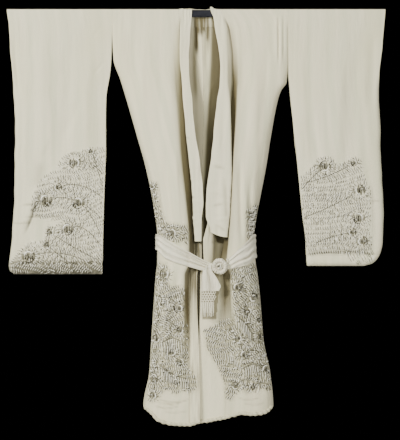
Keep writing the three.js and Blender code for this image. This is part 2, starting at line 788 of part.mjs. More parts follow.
function displayBar() {
  const [w, h, r] = [BAR.depth / 2, BAR.height / 2, BAR.corner];
  const section = new THREE.Shape();
  section.moveTo(-w + r, -h);
  section.lineTo(w - r, -h);
  section.absarc(w - r, -h + r, r, -Math.PI / 2, 0);
  section.absarc(w - r, h - r, r, 0, Math.PI / 2);
  section.absarc(-w + r, h - r, r, Math.PI / 2, Math.PI);
  section.absarc(-w + r, -h + r, r, Math.PI, 1.5 * Math.PI);
  const bar = new THREE.ExtrudeGeometry(section, { depth: BAR.length, bevelEnabled: false, curveSegments: 4 });
  return bar.translate(0, 0, -BAR.length / 2).rotateX(Math.PI / 2).rotateZ(Math.PI / 2);
}

add("display_bar", displayBar(), BAR_CLOTH, 0.8);
for (const hand of ["right", "left"]) {
  add(`${hand}_front_panel`, frontPanel(hand), SILK, 0.7);
  add(`${hand}_front_overlap`, overlapStrip(hand), SILK, 0.7);
  add(`${hand}_back_panel`, backPanel(hand), SILK, 0.7);
  add(`${hand}_collar`, collarStrip(hand), SILK, 0.65);
  add(`${hand}_sleeve_front`, sleeveSheet(hand, -1), SILK, 0.7);
  add(`${hand}_sleeve_back`, sleeveSheet(hand, 1), SILK, 0.7);
  add(`${hand}_front_hem_roll`, frontHemRoll(hand), SILK, 0.7);
  add(`${hand}_back_hem_roll`, backHemRoll(hand), SILK, 0.7);
  add(`${hand}_sash_front`, sashFront(hand), SASH_SILK, 0.6);
}
add("neck_band", collarBack(), SILK, 0.65);
add("sash_back", sashBack(), SASH_SILK, 0.6);
add("sash_knot", knot(), SASH_SILK, 0.6);
add("sash_tail", sashTail(), SASH_SILK, 0.6);
add("sash_net", sashNet(), SASH_SILK, 0.6);
add("sash_fringe", sashFringe(), SASH_SILK, 0.6);

const robe = new THREE.Group();
robe.add(...meshes);
export default robe;
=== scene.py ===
import math
import random

import bpy
import numpy as np
from mathutils import Matrix, Vector, noise
from mathutils.bvhtree import BVHTree


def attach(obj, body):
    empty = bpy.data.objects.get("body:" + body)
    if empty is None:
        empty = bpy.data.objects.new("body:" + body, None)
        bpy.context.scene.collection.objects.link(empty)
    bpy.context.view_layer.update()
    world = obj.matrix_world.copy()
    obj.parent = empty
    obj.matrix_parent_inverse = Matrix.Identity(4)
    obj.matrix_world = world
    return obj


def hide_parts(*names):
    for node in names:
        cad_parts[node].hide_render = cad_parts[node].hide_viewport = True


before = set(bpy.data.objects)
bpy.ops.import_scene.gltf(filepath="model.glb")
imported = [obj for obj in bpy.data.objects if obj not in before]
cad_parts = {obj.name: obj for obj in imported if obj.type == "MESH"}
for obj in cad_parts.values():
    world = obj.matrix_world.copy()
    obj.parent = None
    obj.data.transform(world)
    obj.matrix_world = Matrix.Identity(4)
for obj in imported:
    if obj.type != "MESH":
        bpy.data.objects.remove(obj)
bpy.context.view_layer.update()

# A wide-sleeved silk robe, tied with its sash and hung on a flat padded bar.
# Metres. +Z is up, -Y faces the front and +X is the wearer's left. The origin is the middle of the bar.
# "right" and "left" are the wearer's. Cloth faces -1 at the front and 1 at the back.
SIDE = {-1: "front", 1: "back"}
INWARD = {"right": 1, "left": -1}


def numbers(size, text):
    """Rows of so many numbers each."""
    values = [float(word) for word in text.split()]
    return [tuple(values[i : i + size]) for i in range(0, len(values), size)]


def blocks(size, text):
    """Rows of numbers in blocks, each under its hand, or its hand and the way its cloth faces."""
    found = {}
    for block in text.strip().split("\n\n"):
        title, rows = block.split("\n", 1)
        hand, *facing = title.split()
        found[(hand, int(facing[0])) if facing else hand] = numbers(size, rows)
    return found


class Table:
    """Rows of named columns against a falling first column, read on a curve that never overshoots."""

    def __init__(self, names, rows):
        self.keys, *columns = zip(*rows)
        self.columns = dict(zip(names.split()[1:], columns))

    def slope(self, values, i):
        if i == 0 or i == len(values) - 1:
            return 0.0
        before = (values[i] - values[i - 1]) / (self.keys[i] - self.keys[i - 1])
        after = (values[i + 1] - values[i]) / (self.keys[i + 1] - self.keys[i])
        if before * after <= 0:
            return 0.0
        return 2 * before * after / (before + after)

    def at(self, name, key):
        values = self.columns[name]
        if key >= self.keys[0]:
            return values[0]
        if key <= self.keys[-1]:
            return values[-1]
        i = next(n for n, k in enumerate(self.keys) if key > k) - 1
        span = self.keys[i + 1] - self.keys[i]
        t = (key - self.keys[i]) / span
        start = self.slope(values, i) * span
        end = self.slope(values, i + 1) * span
        rise = values[i + 1] - values[i]
        bend = (3 * rise - 2 * start - end) * t**2
        return values[i] + start * t + bend + (start + end - 2 * rise) * t**3

    def column(self, name, keys):
        return np.array([[self.at(name, key)] for key in keys])


def tables(names, text):
    """A table for each block of rows, all with the same columns."""
    return {key: Table(names, rows) for key, rows in blocks(len(names.split()), text).items()}


# ---------- the robe's measures ----------
CLOTH = 0.0016  # crepe with its lining
BAND = 0.0026  # sash and neck band, folded double
COLLAR_BAND = 0.0022  # the collar where it lies folded on the robe
GAP = 0.0003
SEAM = 0.0001  # half the space between two sheets that meet at an edge
OVER_BAR_TOP = 0.0143
OVER_BAR_SIDE = 0.0093
OVER_BAR_BEND = 0.0063
HEM_ROLL = 0.006
HEM_LEVEL = -1.396
HEM_EASE = -1.1
ARMHOLE_END = {"right": -0.151, "left": -0.202}
CUFF_END = -0.209
SIDE_CLOSES_OVER = 0.05
SLEEVE_EDGE = 0.018
SLEEVE_FOOT = 0.014
SLEEVE_BOTTOM = {"right": -0.886, "left": -0.858}
NECK_CUT = {"right": -0.065, "left": 0.075, "bottom": -0.046}
WAIST_SEAM = -0.778
COLLAR_END = {"right": (-0.774, -0.774), "left": (-0.76, -0.742)}
SASH_MIDDLE = -0.8
SASH_EASE = 0.002
SASH_BRIDGE = {"right": [(0.012, -0.066), (0.0464, -0.07)], "left": [(0.1018, -0.07)]}
KNOT = Vector((0.073, -0.074, -0.858))
KNOT_RADIUS = 0.027
KNOT_EYE = (0.0685, -0.8565)
FRONT_EDGES = 0.045  # the middle of the stretch in which the two fronts meet
SUNK = 0.0003  # how deep a stitch lies in the cloth
RIM = 0.008  # how far in from its edge a patch is full
TAIL_FRONT = -0.0742
NET = {"left": 0.009, "right": 0.068, "top": -0.9405, "bottom": -0.981, "foot_right": 0.056}
FRINGE = {"top": -0.9813, "length": 0.05, "strands": 26}

FRONT = tables("z side crest crest_y valley valley_y", """
right
0.014 -0.291 -0.092 -0.0093 -0.065 -0.0093
-0.012 -0.291 -0.09 -0.0093 -0.065 -0.0093
-0.056 -0.291 -0.082 -0.016 -0.064 -0.012
-0.158 -0.287 -0.085 -0.024 -0.061 -0.014
-0.226 -0.264 -0.082 -0.032 -0.058 -0.014
-0.294 -0.243 -0.075 -0.04 -0.051 -0.014
-0.43 -0.204 -0.066 -0.048 -0.041 -0.012
-0.515 -0.18 -0.058 -0.052 -0.031 -0.01
-0.634 -0.155 -0.044 -0.056 -0.02 -0.008
-0.77 -0.138 -0.033 -0.058 -0.013 -0.006
-0.845 -0.139 -0.034 -0.058 -0.017 -0.014
-0.889 -0.144 -0.048 -0.058 -0.031 -0.024
-0.974 -0.15 -0.048 -0.058 -0.032 -0.032
-1.11 -0.159 -0.046 -0.058 -0.031 -0.044
-1.246 -0.166 -0.054 -0.06 -0.031 -0.056
-1.396 -0.186 -0.054 -0.066 -0.031 -0.065

left
0.014 0.306 0.108 -0.0093 0.075 -0.0093
-0.012 0.306 0.122 -0.0093 0.091 -0.0093
-0.056 0.306 0.129 -0.016 0.108 -0.012
-0.158 0.306 0.136 -0.024 0.119 -0.014
-0.236 0.301 0.136 -0.032 0.119 -0.014
-0.26 0.284 0.134 -0.036 0.117 -0.014
-0.294 0.272 0.133 -0.04 0.114 -0.014
-0.43 0.246 0.127 -0.048 0.106 -0.012
-0.515 0.233 0.122 -0.052 0.103 -0.01
-0.634 0.21 0.116 -0.056 0.098 -0.008
-0.7 0.198 0.112 -0.057 0.094 -0.008
-0.77 0.19 0.106 -0.058 0.088 -0.006
-0.845 0.196 0.1 -0.058 0.076 -0.014
-0.889 0.203 0.112 -0.058 0.086 -0.024
-0.974 0.212 0.119 -0.058 0.09 -0.036
-1.11 0.223 0.136 -0.06 0.095 -0.046
-1.246 0.245 0.143 -0.062 0.092 -0.056
-1.396 0.256 0.143 -0.064 0.092 -0.06
""")
BACK = tables("z crest crest_y ridge ridge_y", """
right
0.014 -0.11 0.0093 0.008 0.0093
-0.012 -0.11 0.0093 0.008 0.0093
-0.056 -0.086 0.015 0.012 0.007
-0.158 -0.07 0.022 0.016 0.006
-0.294 -0.058 0.031 0.019 0.0035
-0.43 -0.05 0.037 0.017 0.0035
-0.634 -0.042 0.04 0.015 0.008
-0.79 -0.05 0.038 0.016 0.018
-0.974 -0.06 0.044 0.013 0.022
-1.246 -0.064 0.05 0.009 0.03
-1.396 -0.066 0.052 0.007 0.033

left
0.014 0.126 0.0093 0.008 0.0093
-0.012 0.126 0.0093 0.008 0.0093
-0.056 0.11 0.015 0.012 0.007
-0.158 0.102 0.022 0.016 0.006
-0.294 0.094 0.031 0.019 0.0035
-0.43 0.084 0.037 0.017 0.0035
-0.634 0.072 0.04 0.015 0.008
-0.79 0.08 0.038 0.016 0.018
-0.974 0.088 0.044 0.013 0.022
-1.246 0.092 0.05 0.009 0.03
-1.396 0.094 0.052 0.007 0.033
""")
COLLAR = tables("z outer outer_y inner inner_y", """
right
0.014 -0.062 -0.0093 -0.021 -0.0093
-0.012 -0.062 -0.0093 -0.022 -0.0093
-0.056 -0.061 -0.02 -0.026 -0.018
-0.158 -0.06 -0.03 -0.031 -0.03
-0.226 -0.054 -0.039 -0.029 -0.04
-0.294 -0.05 -0.046 -0.021 -0.048
-0.43 -0.038 -0.054 -0.007 -0.056
-0.515 -0.026 -0.056 0.007 -0.058
-0.634 -0.018 -0.056 0.018 -0.058
-0.7 -0.017 -0.052 0.012 -0.054
-0.774 -0.009 -0.044 0.01 -0.046

left
0.014 0.072 -0.0093 0.041 -0.0093
-0.012 0.087 -0.0093 0.052 -0.0093
-0.056 0.095 -0.02 0.058 -0.018
-0.158 0.099 -0.03 0.074 -0.03
-0.226 0.1 -0.039 0.074 -0.04
-0.294 0.106 -0.046 0.065 -0.048
-0.43 0.112 -0.054 0.051 -0.056
-0.515 0.113 -0.056 0.041 -0.058
-0.634 0.108 -0.056 0.027 -0.058
-0.7 0.105 -0.056 0.026 -0.058
-0.76 0.099 -0.056 0.042 -0.058
""")
OVERLAP = tables("z start start_y floor floor_y turn turn_y edge edge_y", """
right
-0.78 -0.013 -0.006 -0.006 -0.01 0.002 -0.024 0.013 -0.03
-0.845 -0.017 -0.014 -0.01 -0.017 0.0 -0.027 0.012 -0.032
-0.889 -0.031 -0.024 -0.025 -0.024 -0.014 -0.034 -0.003 -0.038
-0.974 -0.032 -0.032 -0.025 -0.033 -0.014 -0.041 -0.003 -0.044
-1.11 -0.031 -0.044 -0.024 -0.045 -0.014 -0.05 0.002 -0.052
-1.246 -0.031 -0.056 -0.024 -0.057 -0.012 -0.061 0.005 -0.062
-1.396 -0.031 -0.065 -0.024 -0.066 -0.01 -0.067 0.007 -0.068

left
-0.7 0.062 -0.012 0.058 -0.015 0.051 -0.044 0.018 -0.048
-0.772 0.062 -0.012 0.058 -0.015 0.051 -0.044 0.018 -0.048
-0.8 0.084 -0.009 0.06 -0.012 0.051 -0.043 0.018 -0.046
-0.845 0.076 -0.014 0.062 -0.016 0.05 -0.036 0.02 -0.04
-0.889 0.086 -0.024 0.07 -0.023 0.045 -0.031 0.008 -0.036
-0.974 0.09 -0.036 0.072 -0.034 0.042 -0.038 0.007 -0.04
-1.11 0.095 -0.046 0.075 -0.043 0.042 -0.044 0.004 -0.044
-1.246 0.092 -0.056 0.072 -0.051 0.036 -0.05 -0.003 -0.05
-1.396 0.092 -0.06 0.072 -0.056 0.036 -0.054 -0.003 -0.054
""")
SLEEVE = tables("z outer inner depth", """
right
0.014 -0.649 -0.2913 0.0093
-0.039 -0.642 -0.2913 0.01
-0.107 -0.638 -0.2935 0.011
-0.158 -0.634 -0.295 0.012
-0.202 -0.63 -0.299 0.0125
-0.287 -0.626 -0.312 0.013
-0.382 -0.621 -0.314 0.014
-0.484 -0.624 -0.314 0.0145
-0.6 -0.624 -0.318 0.0145
-0.699 -0.63 -0.321 0.014
-0.777 -0.634 -0.323 0.013
-0.835 -0.64 -0.324 0.012
-0.858 -0.642 -0.325 0.0115
-0.876 -0.638 -0.326 0.011
-0.886 -0.626 -0.327 0.01

left
0.014 0.636 0.3063 0.0093
-0.039 0.632 0.3063 0.01
-0.097 0.627 0.3063 0.011
-0.202 0.615 0.307 0.0125
-0.287 0.614 0.314 0.013
-0.382 0.619 0.324 0.014
-0.502 0.622 0.336 0.0145
-0.6 0.627 0.346 0.0145
-0.699 0.631 0.356 0.014
-0.777 0.627 0.366 0.013
-0.811 0.62 0.368 0.012
-0.835 0.609 0.37 0.0115
-0.85 0.592 0.371 0.011
-0.858 0.568 0.372 0.01
""")
SASH_EDGES = tables("x upper lower", """
right
0.046 -0.847 -0.876
0.017 -0.835 -0.872
-0.027 -0.811 -0.86
-0.078 -0.783 -0.845
-0.112 -0.764 -0.831
-0.143 -0.75 -0.804

left
0.194 -0.75 -0.831
0.167 -0.773 -0.852
0.136 -0.801 -0.86
0.1 -0.832 -0.868

back
0.194 -0.75 -0.831
-0.143 -0.75 -0.804
""")
HEM = Table("x z", numbers(2, """
0.248 -1.341  0.233 -1.353  0.207 -1.36  0.175 -1.361  0.149 -1.358  0.118 -1.365  0.088 -1.374
0.06 -1.379  0.031 -1.385  0.005 -1.387  -0.032 -1.396  -0.082 -1.394  -0.133 -1.382
-0.157 -1.358  -0.184 -1.341
"""))
TAIL = Table("z left right", numbers(3, """
-0.85 0.02 0.044  -0.87 0.017 0.046  -0.889 0.014 0.058  -0.91 0.012 0.07  -0.926 0.01 0.076
-0.94 0.009 0.07
"""))

# ---------- lines and sheets ----------
def mix(a, b, share):
    return a + (b - a) * share


def clamp(value, low=0.0, high=1.0):
    return min(high, max(low, value))


def soft_step(value):
    value = np.clip(value, 0, 1)
    return value * value * (3 - 2 * value)


STEPS = 18


def smooth_line(points, steps=STEPS):
    """A smooth line through points, with so many steps from each to the next."""
    points = np.asarray(points, float)
    whole = np.vstack([2 * points[0] - points[1], points, 2 * points[-1] - points[-2]])
    t = np.linspace(0, 1, steps, endpoint=False)[:, None]
    line = []
    for i in range(len(points) - 1):
        p0, p1, p2, p3 = whole[i : i + 4]
        d0, d1, d2 = (max(np.linalg.norm(b - a), 1e-7) ** 0.5 for a, b in ((p0, p1), (p1, p2), (p2, p3)))
        start = ((p1 - p0) / d0 - (p2 - p0) / (d0 + d1) + (p2 - p1) / d1) * d1
        end = ((p2 - p1) / d1 - (p3 - p1) / (d1 + d2) + (p3 - p2) / d2) * d1
        bend = 3 * (p2 - p1) - 2 * start - end
        turn = start + end - 2 * (p2 - p1)
        line.append(p1 + start * t + bend * t**2 + turn * t**3)
    line.append(points[-1:])
    return np.vstack(line)


def way_along(line):
    """How far each point of a line is from its start."""
    return np.concatenate([[0], np.cumsum(np.linalg.norm(np.diff(line, axis=0), axis=1))])


def even(line, count):
    """Points at even steps of a line's own length."""
    run = way_along(line)
    at = np.linspace(0, 1, count) * run[-1]
    return np.stack([np.interp(at, run, line[:, k]) for k in range(line.shape[1])], axis=1)


def over_bar():
    """Where cloth lies as it passes over the bar: share of the bar's side, and height."""
    flat_part = OVER_BAR_SIDE - OVER_BAR_BEND
    rows = [(0.0, OVER_BAR_TOP), (flat_part / 2 / OVER_BAR_SIDE, OVER_BAR_TOP)]
    for i in range(7):
        angle = math.pi / 2 * i / 6
        out = flat_part + OVER_BAR_BEND * math.sin(angle)
        rows.append((out / OVER_BAR_SIDE, OVER_BAR_TOP - OVER_BAR_BEND * (1 - math.cos(angle))))
    return rows


def levels(top, bottom, step):
    count = max(2, round((top - bottom) / step) + 1)
    return [(1.0, z) for z in np.linspace(top, bottom, count)]


def hang(plan, columns, heights, bottom_at=None):
    """Rows of points of a piece that hangs from the bar, from its plan at each height."""
    rows = []
    for share, z in heights:
        line = even(smooth_line(plan(z)), columns)
        row = np.column_stack([line[:, 0], line[:, 1] * share, np.full(columns, z)])
        if bottom_at and z < HEM_EASE:
            drop = (HEM_EASE - z) / (HEM_EASE - HEM_LEVEL)
            row[:, 2] = [mix(HEM_EASE, bottom_at(x), drop) for x in row[:, 0]]
        rows.append(row)
    return np.array(rows)


def normals(rows):
    across = np.gradient(rows, axis=1)
    down = np.gradient(rows, axis=0)
    out = np.cross(down, across)
    size = np.linalg.norm(out, axis=2, keepdims=True)
    return out / np.maximum(size, 1e-12)


def lifted(rows, height, outward):
    """The rows moved out along their own normals. outward is -1 for the front and 1 for the back."""
    out = normals(rows)
    turn = np.sign(np.sum(out[:, :, 1]) * outward) or 1
    return rows + out * turn * height[:, :, None]


def fold_height(folds, x, z):
    """Soft ridges and troughs: each is a run from one point to another, its half width and its height."""
    total = np.zeros_like(x)
    for x0, z0, x1, z1, width, height in folds:
        run = math.hypot(x1 - x0, z1 - z0)
        ux = (x1 - x0) / run
        uz = (z1 - z0) / run
        along = np.clip((x - x0) * ux + (z - z0) * uz, 0, run)
        dx = x - x0 - ux * along
        dz = z - z0 - uz * along
        side = dx * uz - dz * ux
        reach = np.where(side > 0, width * 1.3, width * 0.8)
        fade = soft_step((along / run + 0.06) / 0.34) * soft_step((1.06 - along / run) / 0.34)
        total += height * fade * np.exp(-((np.hypot(dx, dz) / reach) ** 2))
    return total


def uneven(x, z, size_x, size_z, seed):
    """Smooth uneven waves between -1 and 1, of a given size across and down."""
    places = np.stack([x / size_x, z / size_z], axis=-1).reshape(-1, 2)
    values = [noise.noise(Vector((a, b, seed * 3.7))) for a, b in places]
    return np.array(values).reshape(x.shape)


def heading(angle):
    return np.array([math.cos(angle), math.sin(angle)])


def square_to(way):
    return np.array([-way[1], way[0]])


def select_nothing():
    bpy.ops.object.select_all(action="DESELECT")


def only(piece):
    select_nothing()
    piece.select_set(True)
    bpy.context.view_layer.objects.active = piece


def apply(piece, kind, **settings):
    only(piece)
    modifier = piece.modifiers.new(kind, kind)
    for name, value in settings.items():
        setattr(modifier, name, value)
    bpy.ops.object.modifier_apply(modifier=modifier.name)


def set_points(mesh, points):
    mesh.vertices.foreach_set("co", np.asarray(points, np.float32).ravel())
    mesh.update()


def get_points(mesh):
    points = np.zeros(len(mesh.vertices) * 3, np.float32)
    mesh.vertices.foreach_get("co", points)
    return points.reshape(-1, 3).astype(float)


def lay_uv(mesh, at_vertex):
    """Cloth metres across and down, for each corner from its vertex."""
    layer = mesh.uv_layers.active or mesh.uv_layers.new(name="UVMap")
    corners = np.zeros(len(mesh.loops), np.int32)
    mesh.loops.foreach_get("vertex_index", corners)
    layer.data.foreach_set("uv", np.asarray(at_vertex, np.float32)[corners].ravel())


def add_value(mesh, name, values):
    attribute = mesh.attributes.get(name) or mesh.attributes.new(name, "FLOAT", "POINT")
    attribute.data.foreach_set("value", np.asarray(values, np.float32).ravel())


def grid_sheet(name, rows, outward, values=None):
    """A sheet whose points follow rows (down) and columns (across), with its face to the outward side."""
    down, across = rows.shape[:2]
    if np.sum(normals(rows)[:, :, 1]) * outward < 0:
        rows = rows[:, ::-1]
        values = {key: value[:, ::-1] for key, value in (values or {}).items()}
    select_nothing()
    bpy.ops.mesh.primitive_grid_add(x_subdivisions=across - 1, y_subdivisions=down - 1, size=1)
    piece = bpy.context.object
    piece.name = name
    piece.data.name = name
    set_points(piece.data, rows[::-1].reshape(-1, 3))
    u = np.concatenate([np.zeros((down, 1)), np.cumsum(np.linalg.norm(np.diff(rows, axis=1), axis=2), 1)], 1)
    v = np.concatenate([np.zeros((1, across)), np.cumsum(np.linalg.norm(np.diff(rows, axis=0), axis=2), 0)])
    lay_uv(piece.data, np.stack([u, -v], axis=-1)[::-1].reshape(-1, 2))
    for key, value in (values or {}).items():
        add_value(piece.data, key, value[::-1])
    return piece


def thicken(piece, thickness, keep_side=0):
    """Gives the sheet its wall. keep_side holds it in front of (-1) or behind (1) the middle plane."""
    apply(piece, "SOLIDIFY", thickness=thickness, offset=-1, use_rim=True, use_even_offset=False)
    if keep_side:
        points = get_points(piece.data)
        points[:, 1] = keep_side * np.maximum(points[:, 1] * keep_side, SEAM)
        set_points(piece.data, points)


def smooth(piece, angle=55):
    only(piece)
    bpy.ops.object.shade_smooth_by_angle(angle=math.radians(angle))


def close_up(piece, merge=True):
    """Merges doubles, turns the faces outward and shades them smooth."""
    only(piece)
    bpy.ops.object.mode_set(mode="EDIT")
    bpy.ops.mesh.select_all(action="SELECT")
    if merge:
        bpy.ops.mesh.remove_doubles(threshold=0.00001)
    bpy.ops.mesh.normals_make_consistent(inside=False)
    bpy.ops.object.mode_set(mode="OBJECT")
    bpy.ops.object.shade_smooth()


def set_finish(piece, finish):
    piece.data.materials.clear()
    piece.data.materials.append(finish)


def finish_piece(piece, finish, slot, *nodes):
    set_finish(piece, finish)
    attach(piece, "root")
    if nodes:
        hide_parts(*nodes)


def cloth(node, rows, outward, values, finish, thickness, keep_side=0, slot="robe_silk", shade=None):
    """A node's cloth: a walled sheet on the rows, in its silk."""
    piece = grid_sheet(f"{node}_cloth", rows, outward, values)
    thicken(piece, thickness, keep_side)
    if shade:
        shade(piece)
    smooth(piece)
    finish_piece(piece, finish, slot, node)
    return piece, rows


# ---------- finishes ----------
class Shade:
    """A shader socket that can be added, multiplied and so on."""

    def __init__(self, finish, socket):
        self.finish = finish
        self.socket = socket

    def sum(self, operation, first, second):
        return self.finish.node("ShaderNodeMath", {"operation": operation}, {0: first, 1: second})

    def __add__(self, other):
        return self.sum("ADD", self, other)

    def __sub__(self, other):
        return self.sum("SUBTRACT", self, other)

    def __rsub__(self, other):
        return self.sum("SUBTRACT", other, self)

    def __mul__(self, other):
        return self.sum("MULTIPLY", self, other)

    __radd__ = __add__
    __rmul__ = __mul__


class Finish:
    """A material and the shades that make it up."""

    def __init__(self, name, **sockets):
        self.material = bpy.data.materials.new(name)
        self.material.use_nodes = True
        self.tree = self.material.node_tree
        self.shader = self.tree.nodes["Principled BSDF"]
        for socket, value in sockets.items():
            self.shader.inputs[socket.replace("_", " ")].default_value = value

    def node(self, kind, settings=None, inputs=None, output=0):
        node = self.tree.nodes.new(kind)
        for key, value in (settings or {}).items():
            if key == "stops":
                self.set_stops(node.color_ramp, value)
            else:
                setattr(node, key, value)
        for key, value in (inputs or {}).items():
            if isinstance(value, Shade):
                self.tree.links.new(value.socket, node.inputs[key])
            else:
                node.inputs[key].default_value = value
        return Shade(self, node.outputs[output])

    def set_stops(self, ramp, stops):
        while len(ramp.elements) < len(stops):
            ramp.elements.new(0.5)
        for element, (position, seen) in zip(ramp.elements, stops):
            element.position = position
            element.color = colour(*seen)

    def feed(self, socket, shade):
        self.tree.links.new(shade.socket, self.shader.inputs[socket])

    def place(self, kind):
        return self.node("ShaderNodeTexCoord", output=kind)

    def grain(self, place, x, y, z=1.0, detail=2.0):
        """Noise with so many grains a metre on each axis."""
        scaled = self.node("ShaderNodeMapping", inputs={"Vector": place, "Scale": (x, y, z)})
        return self.node("ShaderNodeTexNoise", inputs={"Vector": scaled, "Scale": 1.0, "Detail": detail})

    def spread(self, shade, low, high):
        return self.node("ShaderNodeMapRange", inputs={0: shade, 1: low, 2: high, 3: 0.0, 4: 1.0})

    def blend(self, share, first, second):
        settings = {"data_type": "RGBA", "blend_type": "MIX"}
        return self.node("ShaderNodeMix", settings, {0: share, 6: first, 7: second}, output=2)

    def value(self, name):
        return self.node("ShaderNodeAttribute", {"attribute_name": name}, output="Fac")

    def bumped(self, height, distance, strength=1.0):
        inputs = {"Height": height, "Distance": distance, "Strength": strength}
        self.feed("Normal", self.node("ShaderNodeBump", inputs=inputs))


def colour(red, green, blue):
    """A colour as it is seen, from 0 to 255, as the shader's own numbers."""
    seen = (red / 255, green / 255, blue / 255)
    linear = [c / 12.92 if c <= 0.04045 else ((c + 0.055) / 1.055) ** 2.4 for c in seen]
    return (*linear, 1.0)


def crepe(name, light, shaded, grey, rough=0.62):
    """Silk crepe: a pebbled grain, faint bands down the cloth, and painted shade, warm and dark, in its folds
    and recesses.
    """
    finish = Finish(name, Sheen_Weight=0.1, Sheen_Roughness=0.4, Specular_IOR_Level=0.3)
    cloth = finish.place("UV")
    bands = finish.grain(cloth, 34.0, 1.4)
    clouds = finish.grain(cloth, 5.0, 2.2, detail=3.0)
    threads = finish.grain(cloth, 1500.0, 420.0)
    pebble = finish.grain(cloth, 620.0, 620.0, detail=3.0)
    puckers = finish.grain(cloth, 170.0, 105.0)
    cool = colour(*np.add(light, (-9, -7, -9)))
    warm = colour(*np.add(light, (6, 3, 2)))
    tinted = finish.blend(finish.spread(bands, 0.36, 0.64), cool, warm)
    aged = colour(*np.add(light, (-9, -11, -22)))
    tinted = finish.blend(finish.spread(clouds, 0.5, 0.78) * 0.55, tinted, aged)
    stitched = finish.value("stitched")
    # The grey of the stitched ground, laid deepest in the pucker hollows: embroidery tone and painted shade.
    tinted = finish.blend(stitched * (0.35 + 0.65 * finish.spread(puckers, 0.62, 0.4)), tinted, colour(*grey))
    # Painted shade: the colour turns to the warm dark shaded colour as far as the shade attribute says.
    tinted = finish.blend(finish.value("recess"), tinted, colour(*shaded))
    finish.feed("Base Color", finish.blend(finish.spread(pebble, 0.3, 0.75) * 0.1, tinted, colour(*shaded)))
    finish.feed("Roughness", rough + 0.12 * finish.spread(clouds, 0.3, 0.7) - 0.06 * threads)
    wrinkles = finish.grain(cloth, 44.0, 9.0, detail=3.0)
    wrinkles = wrinkles * finish.spread(finish.grain(cloth, 7.0, 4.0, detail=1.0), 0.35, 0.65)
    height = threads * 0.00027 + pebble * 0.00045 + stitched * puckers * 0.0042 + wrinkles * 0.0042
    finish.bumped(height, 1.0, 0.85)
    return finish.material


ROBE_SILK = crepe("robe_crepe", (236, 231, 200), (84, 74, 42), (154, 150, 124))
SLEEVE_SILK = crepe("sleeve_crepe", (234, 230, 200), (80, 77, 60), (224, 219, 194))
COLLAR_SILK = crepe("collar_crepe", (237, 233, 204), (92, 82, 48), (200, 196, 180), 0.58)
SASH_SILK = crepe("sash_silk_crepe", (238, 234, 213), (118, 106, 70), (200, 196, 184), 0.5)


def floss():
    """Silk embroidery thread, laid side by side along each stitch, from grey through silver to white."""
    finish = Finish("embroidery_floss", Specular_IOR_Level=0.6)
    cloth = finish.place("UV")
    strand = finish.grain(cloth, 1700.0, 60.0)
    tone = finish.value("tone")
    stops = [(0.0, (54, 50, 37)), (0.3, (134, 130, 107)), (0.62, (220, 216, 192)), (1.0, (252, 250, 236))]
    shade = finish.node("ShaderNodeValToRGB", {"stops": stops}, {0: tone + (strand - 0.5) * 0.16})
    finish.feed("Base Color", shade)
    finish.feed("Roughness", 0.3 + 0.16 * strand)
    finish.bumped(strand, 0.0005, 0.6)
    return finish.material


FLOSS = floss()


def velvet():
    finish = Finish("bar_velvet", Sheen_Weight=0.5, Sheen_Roughness=0.3, Specular_IOR_Level=0.15)
    place = finish.place("Object")
    pile = finish.grain(place, 900.0, 900.0, 900.0)
    worn = finish.grain(place, 30.0, 60.0, 60.0, 3.0)
    tinted = finish.blend(finish.spread(worn, 0.35, 0.7), colour(30, 31, 37), colour(46, 47, 54))
    finish.feed("Base Color", finish.blend(pile * 0.5, tinted, colour(24, 24, 30)))
    finish.feed("Roughness", 0.75 + 0.15 * pile)
    finish.bumped(pile, 0.0006, 0.7)
    return finish.material


VELVET = velvet()


